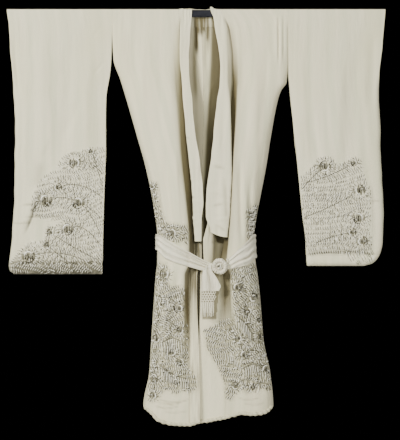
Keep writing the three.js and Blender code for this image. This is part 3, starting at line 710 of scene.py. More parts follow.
# ---------- embroidery ----------
class Stitches:
    """Raised stitches that lie on one sheet, drawn by their distance across and their height."""

    def __init__(self, seed, outward):
        self.chance = random.Random(seed)
        self.outward = outward
        self.strokes = []
        self.kept_clear = []

    def stroke(self, points, width, height, tone):
        self.strokes.append((points, width, height, tone))

    def plume(self, root, bend, eye, size, barb, step=0.0074):
        """A feather: a stem from root to eye, long wavy barbs on both sides of its tip, and the eye."""
        chance = self.chance
        root, bend, eye = (np.array(p, float) for p in (root, bend, eye))
        stem = [mix(mix(root, bend, t), mix(bend, eye, t), t) for t in np.linspace(0, 0.93, 15)]
        length = sum(np.linalg.norm(b - a) for a, b in zip(stem, stem[1:]))
        count = max(3, int(0.5 * length / step))
        for i in range(count):
            share = 0.45 + 0.48 * (i + chance.uniform(-0.2, 0.2)) / count
            foot = mix(mix(root, bend, share), mix(bend, eye, share), share)
            along = mix(bend - root, eye - bend, share)
            along = along / np.linalg.norm(along)
            for side in (-1, 1):
                across = square_to(along) * side
                upright = np.array([0.0, math.copysign(1, across[1] if abs(across[1]) > 0.2 else -side)])
                across = mix(across, upright, 0.45)
                reach = barb * (0.72 + 0.28 * math.sin(math.pi * share)) * chance.uniform(0.78, 1.2)
                lean = mix(0.12, 0.6, share) * chance.uniform(0.6, 1.2)
                sway = chance.uniform(0.0006, 0.0018) * chance.choice((-1, 1))
                points = []
                for t in (0.03, 0.24, 0.48, 0.72, 0.9, 1.0):
                    bow = along * (reach * lean * t * t + sway * math.sin(t * 7))
                    points.append(foot + across * reach * t + bow)
                dark = (i + (side > 0)) % 2
                tone = chance.uniform(0.02, 0.26) if dark else chance.uniform(0.6, 1.0)
                self.stroke(points, chance.uniform(0.0018, 0.0028), 0.0014, tone)
        self.stroke(stem, 0.0028, 0.0022, 0.12)
        self.eye(eye, size)

    def eye(self, middle, size):
        """The feather's eye: rays around a dark heart that a white crescent holds."""
        chance = self.chance
        turn = chance.uniform(0, 6.28)
        rays = max(12, int(size * 2 * math.pi * 1.3 / 0.0056))
        for i in range(rays):
            angle = turn + 2 * math.pi * (i + chance.uniform(-0.25, 0.25)) / rays
            way = heading(angle)
            swirl = square_to(way) * size * 0.3
            outer = size * chance.uniform(1.3, 1.85)
            points = [middle + way * size * 0.95, middle + way * mix(size, outer, 0.5) + swirl * 0.3]
            points.append(middle + way * outer + swirl)
            tone = chance.uniform(0.0, 0.25) if i % 2 else chance.uniform(0.7, 1)
            self.stroke(points, 0.0026, 0.0014, tone)
        lean = heading(turn)
        self.blob(middle, size * 0.82, 0.33, 0.0016)
        self.blob(middle + lean * size * 0.26, size * 0.5, 0.0, 0.0024)
        self.arc(middle, size * 0.92, turn - 1.0, turn + 1.1, 0.0042, 0.0, 0.0026)
        self.arc(middle, size * 0.62, turn + 1.7, turn + 4.4, size * 0.3, 1.0, 0.0036)
        self.arc(middle, size * 0.3, turn + 2.3, turn + 4.6, size * 0.16, 0.08, 0.0036)
        self.arc(middle + lean * size * 0.3, size * 0.2, turn - 0.9, turn + 0.6, size * 0.16, 1.0, 0.0042)
        for i in range(int(size * 500)):
            way = heading(chance.uniform(0, 6.28)) * size
            points = [middle + way * (0.62 + t * 0.34) for t in (0, 0.5, 1)]
            self.stroke(points, 0.003, 0.0032, chance.choice((0.0, 0.1, 1.0)))

    def arc(self, middle, radius, begin, end, width, tone, height):
        points = [middle + radius * (heading(angle) * (0.92, 1)) for angle in np.linspace(begin, end, 7)]
        self.stroke(points, width, height, tone)

    def blob(self, middle, radius, tone, height):
        for i in range(4):
            off = (i - 1.5) / 1.6 * radius
            half = math.sqrt(max(radius**2 - (off * 0.8) ** 2, 1e-8))
            points = [middle + np.array([off, half * t]) for t in (-1, -0.3, 0.3, 1)]
            self.stroke(points, radius * 0.62, height, clamp(tone + self.chance.uniform(-0.06, 0.06)))

    def hanging(self, start, bend, end, length):
        """A stem with long barbs that hang close together under it, and nothing else among them."""
        chance = self.chance
        line = even(smooth_line([start, bend, end]), 40)
        if line[0, 0] > line[-1, 0]:
            line = line[::-1]
        self.kept_clear.append((line, length))
        pitch = 0.0036
        for i in range(int((line[-1, 0] - line[0, 0]) / pitch)):
            x = line[0, 0] + pitch * (i + 0.5)
            foot = np.array([x, np.interp(x, line[:, 0], line[:, 1])])
            reach = length * chance.uniform(0.72, 1.0)
            sway = 0.003 * math.sin(i * 0.35)
            points = []
            for t in (0, 0.2, 0.4, 0.6, 0.8, 1):
                points.append(foot + (sway * math.sin(t * 3.4) + 0.08 * reach * t, -reach * t))
            dark = i % 2
            tone = chance.uniform(0.04, 0.22) if dark else chance.uniform(0.78, 1.0)
            self.stroke(points, 0.0024 if dark else 0.003, 0.0017, tone)
        self.stroke([tuple(p) for p in line[::4]], 0.003, 0.0022, 0.1)

    def beads(self, patch, count):
        """Knots of white silk, each with a dark stitch beside it as its painted shadow, scattered over a
        patch but not at its rim.
        """
        chance = self.chance
        (left, low), (right, high) = extent(patch)
        for _ in range(count):
            x = chance.uniform(left, right)
            z = chance.uniform(low, high)
            if within(patch, x - RIM, z) and within(patch, x + RIM, z):
                self.blob(np.array([x, z]), chance.uniform(0.0022, 0.0036), 1.0, 0.0036)
                self.blob(np.array([x + 0.004, z - 0.003]), chance.uniform(0.0014, 0.0024), 0.0, 0.003)

    def seeds(self, middle, reach, spacing, tones=(0.05, 0.2, 0.6, 0.9, 1.0)):
        """Small curled stitches that fill an oval."""
        chance = self.chance
        rows = int(2 * reach[1] / spacing)
        for r in range(rows + 1):
            for c in range(int(2 * reach[0] / spacing) + 1):
                x = -reach[0] + spacing * (c + 0.5 * (r % 2)) + chance.uniform(-0.3, 0.3) * spacing
                z = -reach[1] + spacing * r + chance.uniform(-0.3, 0.3) * spacing
                if (x / reach[0]) ** 2 + (z / reach[1]) ** 2 > 1:
                    continue
                start = chance.uniform(0, 6.28)
                curl = spacing * 0.36
                place = np.add(middle, (x, z))
                points = [place + curl * heading(start + 3.6 * t) for t in (0, 0.35, 0.7, 1)]
                self.stroke(points, spacing * 0.34, 0.0013, chance.choice(tones))

    def fill(self, patch, plumes, ways, spacing, length, darker=0.5, weight=1.0):
        """Rows of wavy stitches side by side along the given ways, started until the patch is full."""
        chance = self.chance
        (left, low), (right, high) = extent(patch)
        eyes = [(np.array(plume[2]), plume[3]) for plume in plumes]
        taken = {}
        cell = length * 0.85

        def way_at(place):
            along = np.zeros(2)
            for x, z, angle in ways:
                near = 1 / ((place[0] - x) ** 2 + (place[1] - z) ** 2 + 0.0003)
                along += near * heading(2 * math.radians(angle))
            way = heading(math.atan2(along[1], along[0]) / 2)
            for middle, size in eyes:
                off = place - middle
                far = np.linalg.norm(off)
                if far < size * 4:
                    pull = math.exp(-((far / (size * 2.1)) ** 2))
                    outward = off / max(far, 1e-6)
                    way = mix(way, outward * math.copysign(1, way @ outward), pull)
            return way / np.linalg.norm(way)

        def is_free(place):
            column, row = int(place[0] // cell), int(place[1] // cell)
            cells = [(column + i, row + k) for i in (-1, 0, 1) for k in (-1, 0, 1)]
            for other, way in (stitch for near in cells for stitch in taken.get(near, ())):
                off = place - other
                side = abs(off[0] * way[1] - off[1] * way[0])
                if abs(off @ way) < length * 0.78 and side < spacing * 0.72:
                    return False
            return True

        def put(place, way, dark, sway):
            taken.setdefault((int(place[0] // cell), int(place[1] // cell)), []).append((place, way))
            if any(np.linalg.norm(place - middle) < size * 1.15 for middle, size in eyes):
                return
            for line, drop in self.kept_clear:
                under = np.interp(place[0], line[:, 0], line[:, 1], left=9, right=9) - place[1]
                if -0.004 < under < drop * 0.92:
                    return
            side = square_to(way)
            reach = length * chance.uniform(0.8, 1.12)
            shift = way * length * chance.uniform(-0.1, 0.1)
            points = []
            for t in (0, 0.35, 0.7, 1):
                points.append(place + shift + way * reach * (t - 0.5) + side * sway * math.sin(t * 5.2))
            tone = chance.uniform(0.0, 0.16) if dark else chance.uniform(0.74, 1.0)
            width = chance.uniform(0.0017, 0.0026) * weight if dark else chance.uniform(0.0024, 0.0036)
            self.stroke(points, width, 0.0018, tone)

        starts = int(2.2 * (right - left) * (high - low) / (spacing * length))
        for i in range(starts):
            start = np.array([chance.uniform(left, right), chance.uniform(low, high)])
            if not within(patch, *start) or not is_free(start):
                continue
            sway = chance.uniform(0.0006, 0.0024) * chance.choice((-1, 1))
            put(start, way_at(start), True, sway)
            for hand in (-1, 1):
                place = start
                step = square_to(way_at(place)) * hand
                for count in range(1, 61):
                    place = place + step * spacing * chance.uniform(0.88, 1.12)
                    if not within(patch, *place) or not is_free(place):
                        break
                    way = way_at(place)
                    turned = square_to(way)
                    step = turned * math.copysign(1, turned @ step)
                    dark = (count % 2 == 0) == (chance.random() < 0.5 + darker / 1.25)
                    put(place, way, dark, sway)

    def build(self, name, sheet, below=0.0):
        """The stitches that start under a height as one mesh, where they lie on the sheet.

        Each ends where the cloth turns away, and sooner by the front edges than elsewhere.
        """
        tree = BVHTree.FromObject(sheet, bpy.context.evaluated_depsgraph_get())
        points, faces, tones, uvs = [], [], [], []
        ray = Vector((0, -self.outward, 0))
        for line, width, height, tone in self.strokes:
            found = []
            if line[0][1] > below:
                continue
            for x, z in line:
                hit, out, _, _ = tree.ray_cast(Vector((x, self.outward, z)), ray)
                least = 0.7 if abs(x - FRONT_EDGES) < 0.09 else 0.3
                if hit is None or out.y * self.outward < least:
                    break
                found.append((hit, out))
            if len(found) < 3:
                continue
            first = len(points)
            run = 0.0
            for i, (place, out) in enumerate(found):
                along = found[min(i + 1, len(found) - 1)][0] - found[max(i - 1, 0)][0]
                across = along.cross(out).normalized()
                swell = 1.0 if 0 < i < len(found) - 1 else 0.3
                half = width / 2 * swell
                points.append(place + across * half - out * SUNK)
                points.append(place + out * height * (0.4 + 0.6 * swell))
                points.append(place - across * half - out * SUNK)
                tones.extend([tone] * 3)
                uvs.extend([(0.0, run), (half, run), (2 * half, run)])
                run += along.length
            last = len(found) - 1
            for i in range(last):
                a = first + 3 * i
                for k in range(3):
                    n = (k + 1) % 3
                    faces.append((a + k, a + n, a + 3 + n, a + 3 + k))
            faces.append((first + 2, first + 1, first))
            a = first + 3 * last
            faces.append((a, a + 1, a + 2))
        return joined(name, points, faces, uvs, FLOSS, "robe_silk", {"tone": tones})


def new_piece(name, points, faces, uvs):
    mesh = bpy.data.meshes.new(name)
    mesh.from_pydata(points, [], faces)
    piece = bpy.data.objects.new(name, mesh)
    bpy.context.scene.collection.objects.link(piece)
    lay_uv(mesh, uvs)
    return piece


def joined(name, points, faces, uvs, finish, slot, values=None, nodes=()):
    """One piece from many small closed forms, faces outward."""
    piece = new_piece(name, [tuple(p) for p in points], faces, uvs)
    for key, value in (values or {}).items():
        add_value(piece.data, key, value)
    close_up(piece, merge=False)
    finish_piece(piece, finish, slot, *nodes)
    return piece


def extent(patch):
    """The least and the greatest corner of the box round a patch."""
    return np.min(patch, axis=0), np.max(patch, axis=0)


def within(patch, x, z):
    """Whether places lie inside a patch, given by its corners in order."""
    inside = np.zeros(np.shape(x), bool)
    for (x0, z0), (x1, z1) in zip(patch, patch[1:] + patch[:1]):
        if z0 == z1:
            continue
        crosses = (z0 > z) != (z1 > z)
        inside = inside ^ (crosses & (x < x0 + (z - z0) / (z1 - z0) * (x1 - x0)))
    return inside


def cover(patches, x, z):
    """How much of the cloth at each place is under stitches, from 0 to 1."""
    total = np.zeros_like(x)
    for patch in patches:
        share = np.zeros_like(x)
        offsets = [(a, b) for a in (-RIM, 0, RIM) for b in (-RIM, 0, RIM)]
        for dx, dz in offsets:
            share += within(patch, x + dx, z + dz) / len(offsets)
        total = np.maximum(total, share)
    return total


# ---------- plans of the body, at any height ----------
def openness(z, end):
    return clamp((z - end + SIDE_CLOSES_OVER) / SIDE_CLOSES_OVER)


def side_depth(z, end):
    return mix(SEAM, OVER_BAR_SIDE, openness(z, end))


def side_to_crest(edge, edge_y, crest, crest_y):
    """The outer part of a panel's plan: it leaves its side edge steeply and rounds up to its crest."""
    inward = math.copysign(1, crest - edge)
    return [
        (edge, edge_y),
        (edge + 0.0025 * inward, mix(edge_y, crest_y, 0.25)),
        (edge + 0.014 * inward, mix(edge_y, crest_y, 0.6)),
        (mix(edge, crest, 0.45), mix(edge_y, crest_y, 0.92)),
        (crest, crest_y),
    ]


def front_plan(hand, z):
    table = FRONT[hand]
    edge, crest, crest_y, valley, valley_y = (table.at(name, z) for name in table.columns)
    outer = side_to_crest(edge, -side_depth(z, ARMHOLE_END[hand]), crest, crest_y)
    return outer + [(mix(crest, valley, 0.36), mix(crest_y, valley_y, 0.42)), (valley, valley_y)]


def back_plan(hand, z):
    table = BACK[hand]
    edge = FRONT[hand].at("side", z)
    crest, crest_y, ridge, ridge_y = (table.at(name, z) for name in table.columns)
    seam = ridge - math.copysign(1, crest - edge) * SEAM
    outer = side_to_crest(edge, side_depth(z, ARMHOLE_END[hand]), crest, crest_y)
    return outer + [(mix(crest, seam, 0.55), mix(crest_y, ridge_y, 0.4)), (seam, ridge_y)]


def collar_plan(hand, z):
    table = COLLAR[hand]
    outer, outer_y, inner, inner_y = (table.at(name, z) for name in table.columns)
    inward = INWARD[hand]
    start = FRONT[hand].at("valley", z) + GAP * inward
    start_y = FRONT[hand].at("valley_y", z)
    crown = clamp(-z / 0.06)
    under = clamp((-z - 0.025) / 0.03)
    return [
        (start - 0.003 * under * inward, start_y + 0.0028 * under),
        (start + 0.0015 * inward, start_y + 0.002 * under),
        (mix(start, outer, 0.55), mix(start_y, outer_y, 0.5)),
        (outer, outer_y),
        (mix(outer, inner, 0.5), mix(outer_y, inner_y, 0.5) - 0.001 * crown),
        (inner, inner_y),
    ]


def overlap_plan(hand, z):
    table = OVERLAP[hand]
    inward = INWARD[hand]
    start, start_y, floor, floor_y, turn, turn_y, edge, edge_y = (table.at(name, z) for name in table.columns)
    sewn = z < WAIST_SEAM
    if sewn:
        start, start_y = FRONT[hand].at("valley", z), FRONT[hand].at("valley_y", z)
    if hand == "left":
        edge += 0.014 * clamp((z + 0.765) / 0.05)
    return [
        (start - 0.004 * inward * sewn, start_y + 0.003 * sewn),
        (start + 0.0015 * inward, start_y + 0.0022 * sewn),
        (floor, floor_y),
        (turn, turn_y),
        (mix(turn, edge, 0.5), mix(turn_y, edge_y, 0.5) - 0.0005),
        (edge, edge_y),
    ]


def hem_middle(x):
    return HEM.at("z", x) + HEM_ROLL


# ---------- creases: from one point to another, half width and height ----------
FRONT_FOLDS = blocks(6, """
right
-0.122 -0.05 -0.129 -0.464 0.022 -0.0022  -0.197 -0.15 -0.163 -0.53 0.02 0.002
-0.23 -0.05 -0.205 -0.3 0.018 -0.0014  -0.112 -0.464 -0.088 -0.772 0.012 -0.0036
-0.146 -0.53 -0.116 -0.79 0.009 -0.0034  -0.078 -0.46 -0.058 -0.77 0.009 0.0022
-0.068 -0.86 -0.078 -1.11 0.011 -0.0034  -0.1 -0.87 -0.126 -1.36 0.02 0.003
-0.134 -0.93 -0.154 -1.36 0.013 -0.0032  -0.092 -1.02 -0.088 -1.33 0.01 -0.0022
-0.12 -1.19 -0.07 -1.232 0.0028 -0.0014  -0.136 -1.307 -0.075 -1.318 0.0026 0.0012
-0.13 -1.318 -0.07 -1.328 0.0026 -0.0012

left
0.267 0.0 0.268 -0.17 0.0045 0.002  0.2745 0.0 0.274 -0.19 0.003 -0.0016
0.283 0.0 0.283 -0.18 0.0045 0.0018  0.292 0.0 0.291 -0.16 0.0035 -0.0014
0.163 -0.05 0.156 -0.464 0.02 -0.0022  0.204 -0.15 0.184 -0.63 0.02 0.0022
0.235 -0.09 0.222 -0.4 0.016 -0.0015  0.143 -0.5 0.148 -0.79 0.008 -0.0038
0.177 -0.56 0.18 -0.76 0.008 -0.0026  0.162 -0.6 0.162 -0.77 0.007 0.0016
0.15 -0.88 0.2 -1.12 0.013 -0.0034  0.13 -0.86 0.165 -1.36 0.019 0.003
0.186 -0.92 0.226 -1.2 0.012 0.0022  0.218 -1.07 0.216 -1.31 0.012 -0.0026
0.155 -1.24 0.215 -1.225 0.0028 -0.0012
""")
BACK_FOLDS = blocks(6, """
right
-0.2 -0.06 -0.17 -0.5 0.022 0.0022  -0.15 -0.1 -0.12 -0.6 0.016 -0.0026
-0.024 -0.05 -0.012 -0.2 0.008 0.003  -0.008 -0.03 -0.004 -0.15 0.006 0.003
-0.1 -0.5 -0.085 -0.76 0.01 -0.0034  -0.07 -0.55 -0.06 -0.76 0.008 0.002
-0.09 -0.86 -0.12 -1.36 0.016 -0.0034  -0.13 -0.88 -0.16 -1.34 0.014 0.0026
-0.03 -0.9 -0.035 -1.36 0.012 -0.0026  -0.15 -1.18 -0.06 -1.2 0.0028 -0.0013

left
0.21 -0.06 0.19 -0.5 0.022 0.0022  0.165 -0.1 0.14 -0.6 0.016 -0.0026
0.03 -0.05 0.026 -0.2 0.008 0.003  0.012 -0.02 0.014 -0.09 0.006 0.003
0.12 -0.5 0.11 -0.76 0.01 -0.0034  0.09 -0.55 0.085 -0.76 0.008 0.002
0.11 -0.86 0.15 -1.34 0.016 -0.0034  0.15 -0.88 0.2 -1.33 0.014 0.0026
0.05 -0.9 0.055 -1.35 0.012 -0.0026  0.06 -1.15 0.17 -1.17 0.0028 0.0013
""")
COLLAR_FOLDS = blocks(6, """
right
-0.034 -0.56 -0.014 -0.565 0.0036 0.0016  -0.03 -0.62 -0.01 -0.628 0.0036 -0.0018
-0.026 -0.69 -0.006 -0.7 0.004 0.0018  -0.04 -0.42 -0.026 -0.43 0.004 -0.0014
-0.022 -0.6 -0.014 -0.74 0.004 -0.0016

left
0.048 -0.508 0.086 -0.514 0.0034 0.0018  0.052 -0.52 0.094 -0.53 0.0034 -0.0018
0.036 -0.6 0.07 -0.612 0.004 0.0016  0.05 -0.655 0.084 -0.648 0.004 -0.0018
0.056 -0.705 0.104 -0.692 0.0044 0.002  0.06 -0.722 0.094 -0.738 0.004 -0.0018
0.09 -0.56 0.1 -0.72 0.006 -0.0018
""")
# Gathers under the neck, painted as shade on the inside of the back: from one point to another, half width
# and strength.
NECK_GATHER_SHADE = numbers(6, """
0.012 0.01 0.013 -0.08 0.0055 1.0  -0.008 0.0 -0.004 -0.14 0.0065 0.9
0.024 0.0 0.022 -0.07 0.004 0.6  0.0 0.0 0.003 -0.08 0.003 0.5
0.034 0.0 0.032 -0.1 0.005 0.6  -0.014 -0.1 -0.006 -0.3 0.007 0.3
0.04 -0.02 0.034 -0.14 0.0045 0.35
""")
SLEEVE_FOLDS = blocks(6, """
right -1
-0.627 -0.08 -0.606 -0.3 0.01 -0.0034  -0.6 -0.3 -0.606 -0.56 0.012 -0.0016
-0.537 -0.06 -0.503 -0.53 0.03 0.0032  -0.435 -0.09 -0.456 -0.5 0.028 -0.003
-0.37 -0.1 -0.39 -0.6 0.02 0.0018  -0.401 -0.29 -0.456 -0.43 0.014 -0.0014
-0.516 -0.583 -0.58 -0.72 0.02 0.004  -0.53 -0.61 -0.586 -0.745 0.006 -0.003
-0.592 -0.654 -0.51 -0.644 0.0028 -0.0011  -0.561 -0.695 -0.469 -0.692 0.0028 -0.0013
-0.62 -0.714 -0.57 -0.7 0.0028 0.001  -0.318 -0.03 -0.36 -0.09 0.004 -0.0011
-0.318 -0.165 -0.355 -0.21 0.004 -0.0011

left -1
0.596 -0.06 0.59 -0.34 0.014 -0.0024  0.483 -0.15 0.466 -0.6 0.03 0.0032
0.381 -0.32 0.41 -0.52 0.016 -0.0026  0.35 -0.1 0.36 -0.5 0.018 0.0018
0.54 -0.1 0.53 -0.5 0.024 -0.0024  0.44 -0.3 0.48 -0.56 0.016 -0.0014
0.5 -0.644 0.612 -0.634 0.0028 0.0013  0.51 -0.652 0.605 -0.645 0.0028 -0.0011
0.575 -0.56 0.59 -0.78 0.014 0.002  0.37 -0.815 0.58 -0.81 0.003 -0.0022

right 1
-0.6 -0.08 -0.6 -0.4 0.014 -0.0028  -0.52 -0.08 -0.51 -0.6 0.03 0.003
-0.44 -0.1 -0.43 -0.55 0.026 -0.0028  -0.37 -0.2 -0.38 -0.7 0.02 0.002
-0.58 -0.5 -0.54 -0.74 0.018 -0.003  -0.6 -0.67 -0.49 -0.68 0.0028 -0.0013

left 1
0.595 -0.08 0.585 -0.4 0.014 -0.0028  0.5 -0.08 0.49 -0.6 0.03 0.003
0.42 -0.1 0.43 -0.55 0.026 -0.0028  0.36 -0.2 0.38 -0.6 0.018 0.002
0.56 -0.45 0.53 -0.7 0.018 0.0026  0.4 -0.66 0.52 -0.67 0.0028 -0.0013
""")
HEM_CREASES = blocks(6, """
right
-0.138 -0.024 -1.303 0.013 0.0026 1.0  -0.142 -0.05 -1.314 0.01 0.0024 0.8
-0.15 -0.06 -1.327 0.008 0.0028 0.9  -0.12 -0.03 -1.344 0.006 0.003 0.6

left
0.13 0.215 -1.298 0.009 0.0026 0.8  0.15 0.23 -1.318 0.007 0.0026 0.7
0.03 0.09 -1.335 -0.004 0.003 0.5  0.02 0.1 -1.285 0.006 0.004 0.5
""")
SLEEVE_CREASES = blocks(6, """
right
-0.592 -0.45 -0.694 -0.004 0.0026 1.0  -0.64 -0.56 -0.708 0.006 0.003 0.7
-0.6 -0.47 -0.65 -0.003 0.0028 0.7

left
0.36 0.62 -0.822 -0.011 0.0026 1.6  0.5 0.63 -0.64 -0.004 0.0026 0.8
0.36 0.47 -0.735 0.004 0.0028 0.6
""")


def sagging(creases, x, z):
    """Long creases that sag between their ends.

    Each has its two ends, the height of the ends, the sag, the half width and the strength.
    """
    total = np.zeros_like(x)
    for start, end, level, sag, width, strength in creases:
        u = (x - (start + end) / 2) / ((end - start) / 2)
        line = level - sag * (1 - u * u)
        total += strength * np.exp(-(((z - line) / width) ** 2)) * soft_step((1 - np.abs(u)) / 0.35)
    return total


# Lines of painted shade along the skirt's creases: from one point to another, half width and strength.
SKIRT_CREASE_SHADE = blocks(6, """
right
-0.134 -1.185 -0.084 -1.222 0.004 0.5  -0.084 -1.222 -0.03 -1.24 0.004 0.5
-0.15 -1.04 -0.05 -1.07 0.007 0.3  -0.035 -0.93 -0.034 -1.1 0.005 0.4

left
0.12 -0.95 0.17 -1.1 0.006 0.3  0.17 -1.1 0.2 -1.2 0.006 0.25
0.13 -1.08 0.16 -1.18 0.006 0.3
""")
# Lines of painted shade along the sleeves' creases: from one point to another, half width and strength.
SLEEVE_CREASE_SHADE = blocks(6, """
right
-0.6 -0.652 -0.45 -0.645 0.0034 0.4  -0.528 -0.612 -0.588 -0.75 0.0044 0.85
-0.524 -0.59 -0.566 -0.69 0.008 0.5  -0.53 -0.5 -0.545 -0.6 0.014 0.24
-0.505 -0.71 -0.508 -0.8 0.0036 0.4  -0.57 -0.775 -0.59 -0.81 0.0034 0.35
-0.53 -0.49 -0.5 -0.42 0.008 0.1

left
0.51 -0.654 0.6 -0.647 0.0026 0.25  0.36 -0.72 0.45 -0.735 0.003 0.25
0.36 -0.62 0.44 -0.6 0.003 0.25
""")


# ---------- embroidery: where it lies and which way it runs ----------
def feathers(text):
    """Root, bend and eye of each feather, the eye's radius and the barbs' length."""
    found = {}
    for key, rows in blocks(8, text).items():
        found[key] = [(row[:2], row[2:4], row[4:6], *row[6:]) for row in rows]
    return found


SLEEVE_PLUMES = feathers("""
right -1
-0.322 -0.548 -0.37 -0.49 -0.417 -0.508 0.019 0.03
-0.322 -0.628 -0.4 -0.56 -0.476 -0.592 0.014 0.034  -0.326 -0.7 -0.42 -0.6 -0.518 -0.634 0.021 0.036
-0.33 -0.752 -0.37 -0.66 -0.408 -0.642 0.02 0.034  -0.33 -0.79 -0.39 -0.7 -0.444 -0.732 0.02 0.036
-0.335 -0.84 -0.42 -0.8 -0.5 -0.745 0.013 0.034  -0.34 -0.862 -0.46 -0.79 -0.575 -0.824 0.021 0.034
-0.4 -0.868 -0.45 -0.84 -0.51 -0.79 0.012 0.03  -0.322 -0.59 -0.345 -0.52 -0.36 -0.47 0.009 0.022

left -1
0.35 -0.6 0.39 -0.55 0.43 -0.522 0.019 0.03  0.357 -0.578 0.44 -0.56 0.53 -0.508 0.011 0.026
0.357 -0.694 0.45 -0.662 0.548 -0.602 0.018 0.03  0.36 -0.735 0.45 -0.716 0.545 -0.694 0.019 0.03
0.366 -0.79 0.45 -0.776 0.557 -0.775 0.018 0.03  0.4 -0.78 0.45 -0.755 0.522 -0.744 0.014 0.026

right 1
-0.322 -0.56 -0.38 -0.5 -0.44 -0.52 0.019 0.032  -0.325 -0.65 -0.42 -0.57 -0.53 -0.6 0.02 0.036
-0.33 -0.73 -0.38 -0.66 -0.42 -0.63 0.017 0.034  -0.33 -0.78 -0.42 -0.7 -0.49 -0.72 0.02 0.036
-0.335 -0.85 -0.46 -0.78 -0.57 -0.8 0.021 0.036  -0.36 -0.865 -0.42 -0.84 -0.46 -0.8 0.014 0.03

left 1
0.345 -0.57 0.4 -0.51 0.45 -0.53 0.019 0.032  0.352 -0.65 0.44 -0.57 0.54 -0.6 0.02 0.034
0.36 -0.72 0.41 -0.66 0.45 -0.64 0.017 0.034  0.364 -0.77 0.45 -0.7 0.52 -0.71 0.02 0.034
0.37 -0.815 0.47 -0.76 0.57 -0.765 0.018 0.032
""")
SKIRT_PLUMES = feathers("""
right -1
-0.098 -0.93 -0.108 -0.918 -0.112 -0.885 0.017 0.03  -0.14 -0.96 -0.09 -0.955 -0.064 -1.0 0.016 0.03
-0.148 -0.93 -0.13 -0.96 -0.122 -0.985 0.014 0.028  -0.15 -1.01 -0.11 -1.03 -0.06 -1.075 0.013 0.034
-0.13 -1.02 -0.146 -1.06 -0.14 -1.105 0.015 0.03  -0.155 -1.07 -0.11 -1.09 -0.085 -1.15 0.012 0.036
-0.152 -1.14 -0.1 -1.14 -0.058 -1.18 0.013 0.034  -0.13 -1.16 -0.15 -1.2 -0.148 -1.235 0.015 0.026
-0.158 -1.2 -0.11 -1.19 -0.075 -1.245 0.01 0.036  -0.14 -1.25 -0.155 -1.27 -0.15 -1.295 0.013 0.024
-0.128 -0.72 -0.11 -0.74 -0.087 -0.745 0.016 0.024
-0.142 -0.64 -0.148 -0.61 -0.154 -0.59 0.01 0.016

left -1
0.19 -0.87 0.15 -0.89 0.132 -0.928 0.016 0.03  0.2 -0.93 0.175 -0.94 0.186 -0.965 0.016 0.028
0.122 -0.96 0.14 -1.0 0.17 -1.01 0.014 0.032  0.135 -1.03 0.17 -1.06 0.213 -1.09 0.015 0.034
0.15 -0.97 0.18 -1.03 0.205 -1.045 0.01 0.03  0.2 -1.12 0.17 -1.09 0.137 -1.1 0.013 0.034
0.215 -1.15 0.18 -1.13 0.155 -1.155 0.015 0.032  0.15 -1.19 0.19 -1.17 0.23 -1.205 0.016 0.032
0.205 -1.24 0.16 -1.22 0.125 -1.262 0.013 0.03  0.24 -1.26 0.21 -1.24 0.18 -1.265 0.01 0.03
0.197 -0.75 0.187 -0.72 0.182 -0.69 0.011 0.018

right 1
-0.13 -0.9 -0.09 -0.9 -0.05 -0.93 0.017 0.032  -0.14 -0.97 -0.11 -1.0 -0.1 -1.05 0.016 0.034
-0.02 -0.98 -0.05 -1.02 -0.045 -1.08 0.016 0.034  -0.15 -1.08 -0.11 -1.12 -0.12 -1.17 0.017 0.036
-0.02 -1.12 -0.07 -1.14 -0.06 -1.2 0.015 0.036  -0.155 -1.19 -0.13 -1.24 -0.13 -1.275 0.015 0.03
-0.02 -1.22 -0.06 -1.25 -0.07 -1.285 0.012 0.03

left 1
0.185 -0.9 0.15 -0.9 0.1 -0.93 0.017 0.032  0.2 -0.98 0.17 -1.0 0.15 -1.05 0.016 0.034
0.03 -0.98 0.06 -1.02 0.07 -1.08 0.016 0.034  0.215 -1.09 0.18 -1.12 0.18 -1.17 0.017 0.036
0.03 -1.12 0.08 -1.14 0.09 -1.2 0.015 0.036  0.23 -1.2 0.2 -1.23 0.19 -1.265 0.015 0.03
0.03 -1.21 0.08 -1.24 0.1 -1.275 0.012 0.03
""")
# Middle x and z, and the angle of the stitches there.
SLEEVE_WAYS = blocks(3, """
right
0.36 -0.5 80  0.44 -0.5 75  0.36 -0.6 70  0.44 -0.6 100  0.52 -0.6 75  0.36 -0.68 55  0.43 -0.7 95
0.37 -0.76 85  0.46 -0.77 105  0.36 -0.83 70  0.45 -0.83 110  0.55 -0.83 60  0.4 -0.868 60
0.55 -0.868 62  0.4 -0.882 12  0.55 -0.882 10

left
0.37 -0.56 84  0.44 -0.56 100  0.5 -0.52 120  0.38 -0.64 95  0.46 -0.63 75  0.53 -0.65 115
0.39 -0.72 86  0.47 -0.72 104  0.4 -0.79 100  0.5 -0.79 78  0.56 -0.72 90
""")
SKIRT_WAYS = blocks(3, """
right
0.13 -0.9 70  0.07 -0.9 100  0.13 -0.97 35  0.06 -1.0 60  0.13 -1.06 20  0.07 -1.08 50
0.13 -1.14 60  0.07 -1.14 84  0.12 -1.19 80  0.06 -1.2 95  0.11 -1.26 92  0.05 -1.27 84
0.13 -0.65 80

left
0.13 -0.88 60  0.18 -0.89 110  0.2 -0.96 125  0.15 -1.0 132  0.21 -1.06 124  0.16 -1.07 135
0.06 -1.1 60  0.12 -1.13 120  0.21 -1.16 110  0.05 -1.18 110  0.1 -1.2 70  0.15 -1.24 80
0.2 -1.26 100  0.08 -1.27 60  0.19 -0.7 85
""")
# Stems with hanging barbs: start, bend and end, and the barbs' length.
HANGING = blocks(7, """
right
-0.134 -1.188 -0.084 -1.222 -0.026 -1.24 0.046  -0.124 -1.116 -0.09 -1.1 -0.05 -1.112 0.062
-0.146 -0.955 -0.115 -0.968 -0.085 -0.985 0.03

left
0.15 -1.2 0.19 -1.188 0.235 -1.212 0.042  0.125 -1.02 0.155 -1.045 0.185 -1.09 0.048
0.09 -1.15 0.12 -1.165 0.15 -1.19 0.036
""")


def skirt_patches(hand, outward):
    """The patches below the sash, and those that show above it."""
    above = WAIST_PATCHES.get((hand, outward))
    return [SKIRT_PATCHES[hand, outward]] + ([above] if above else [])


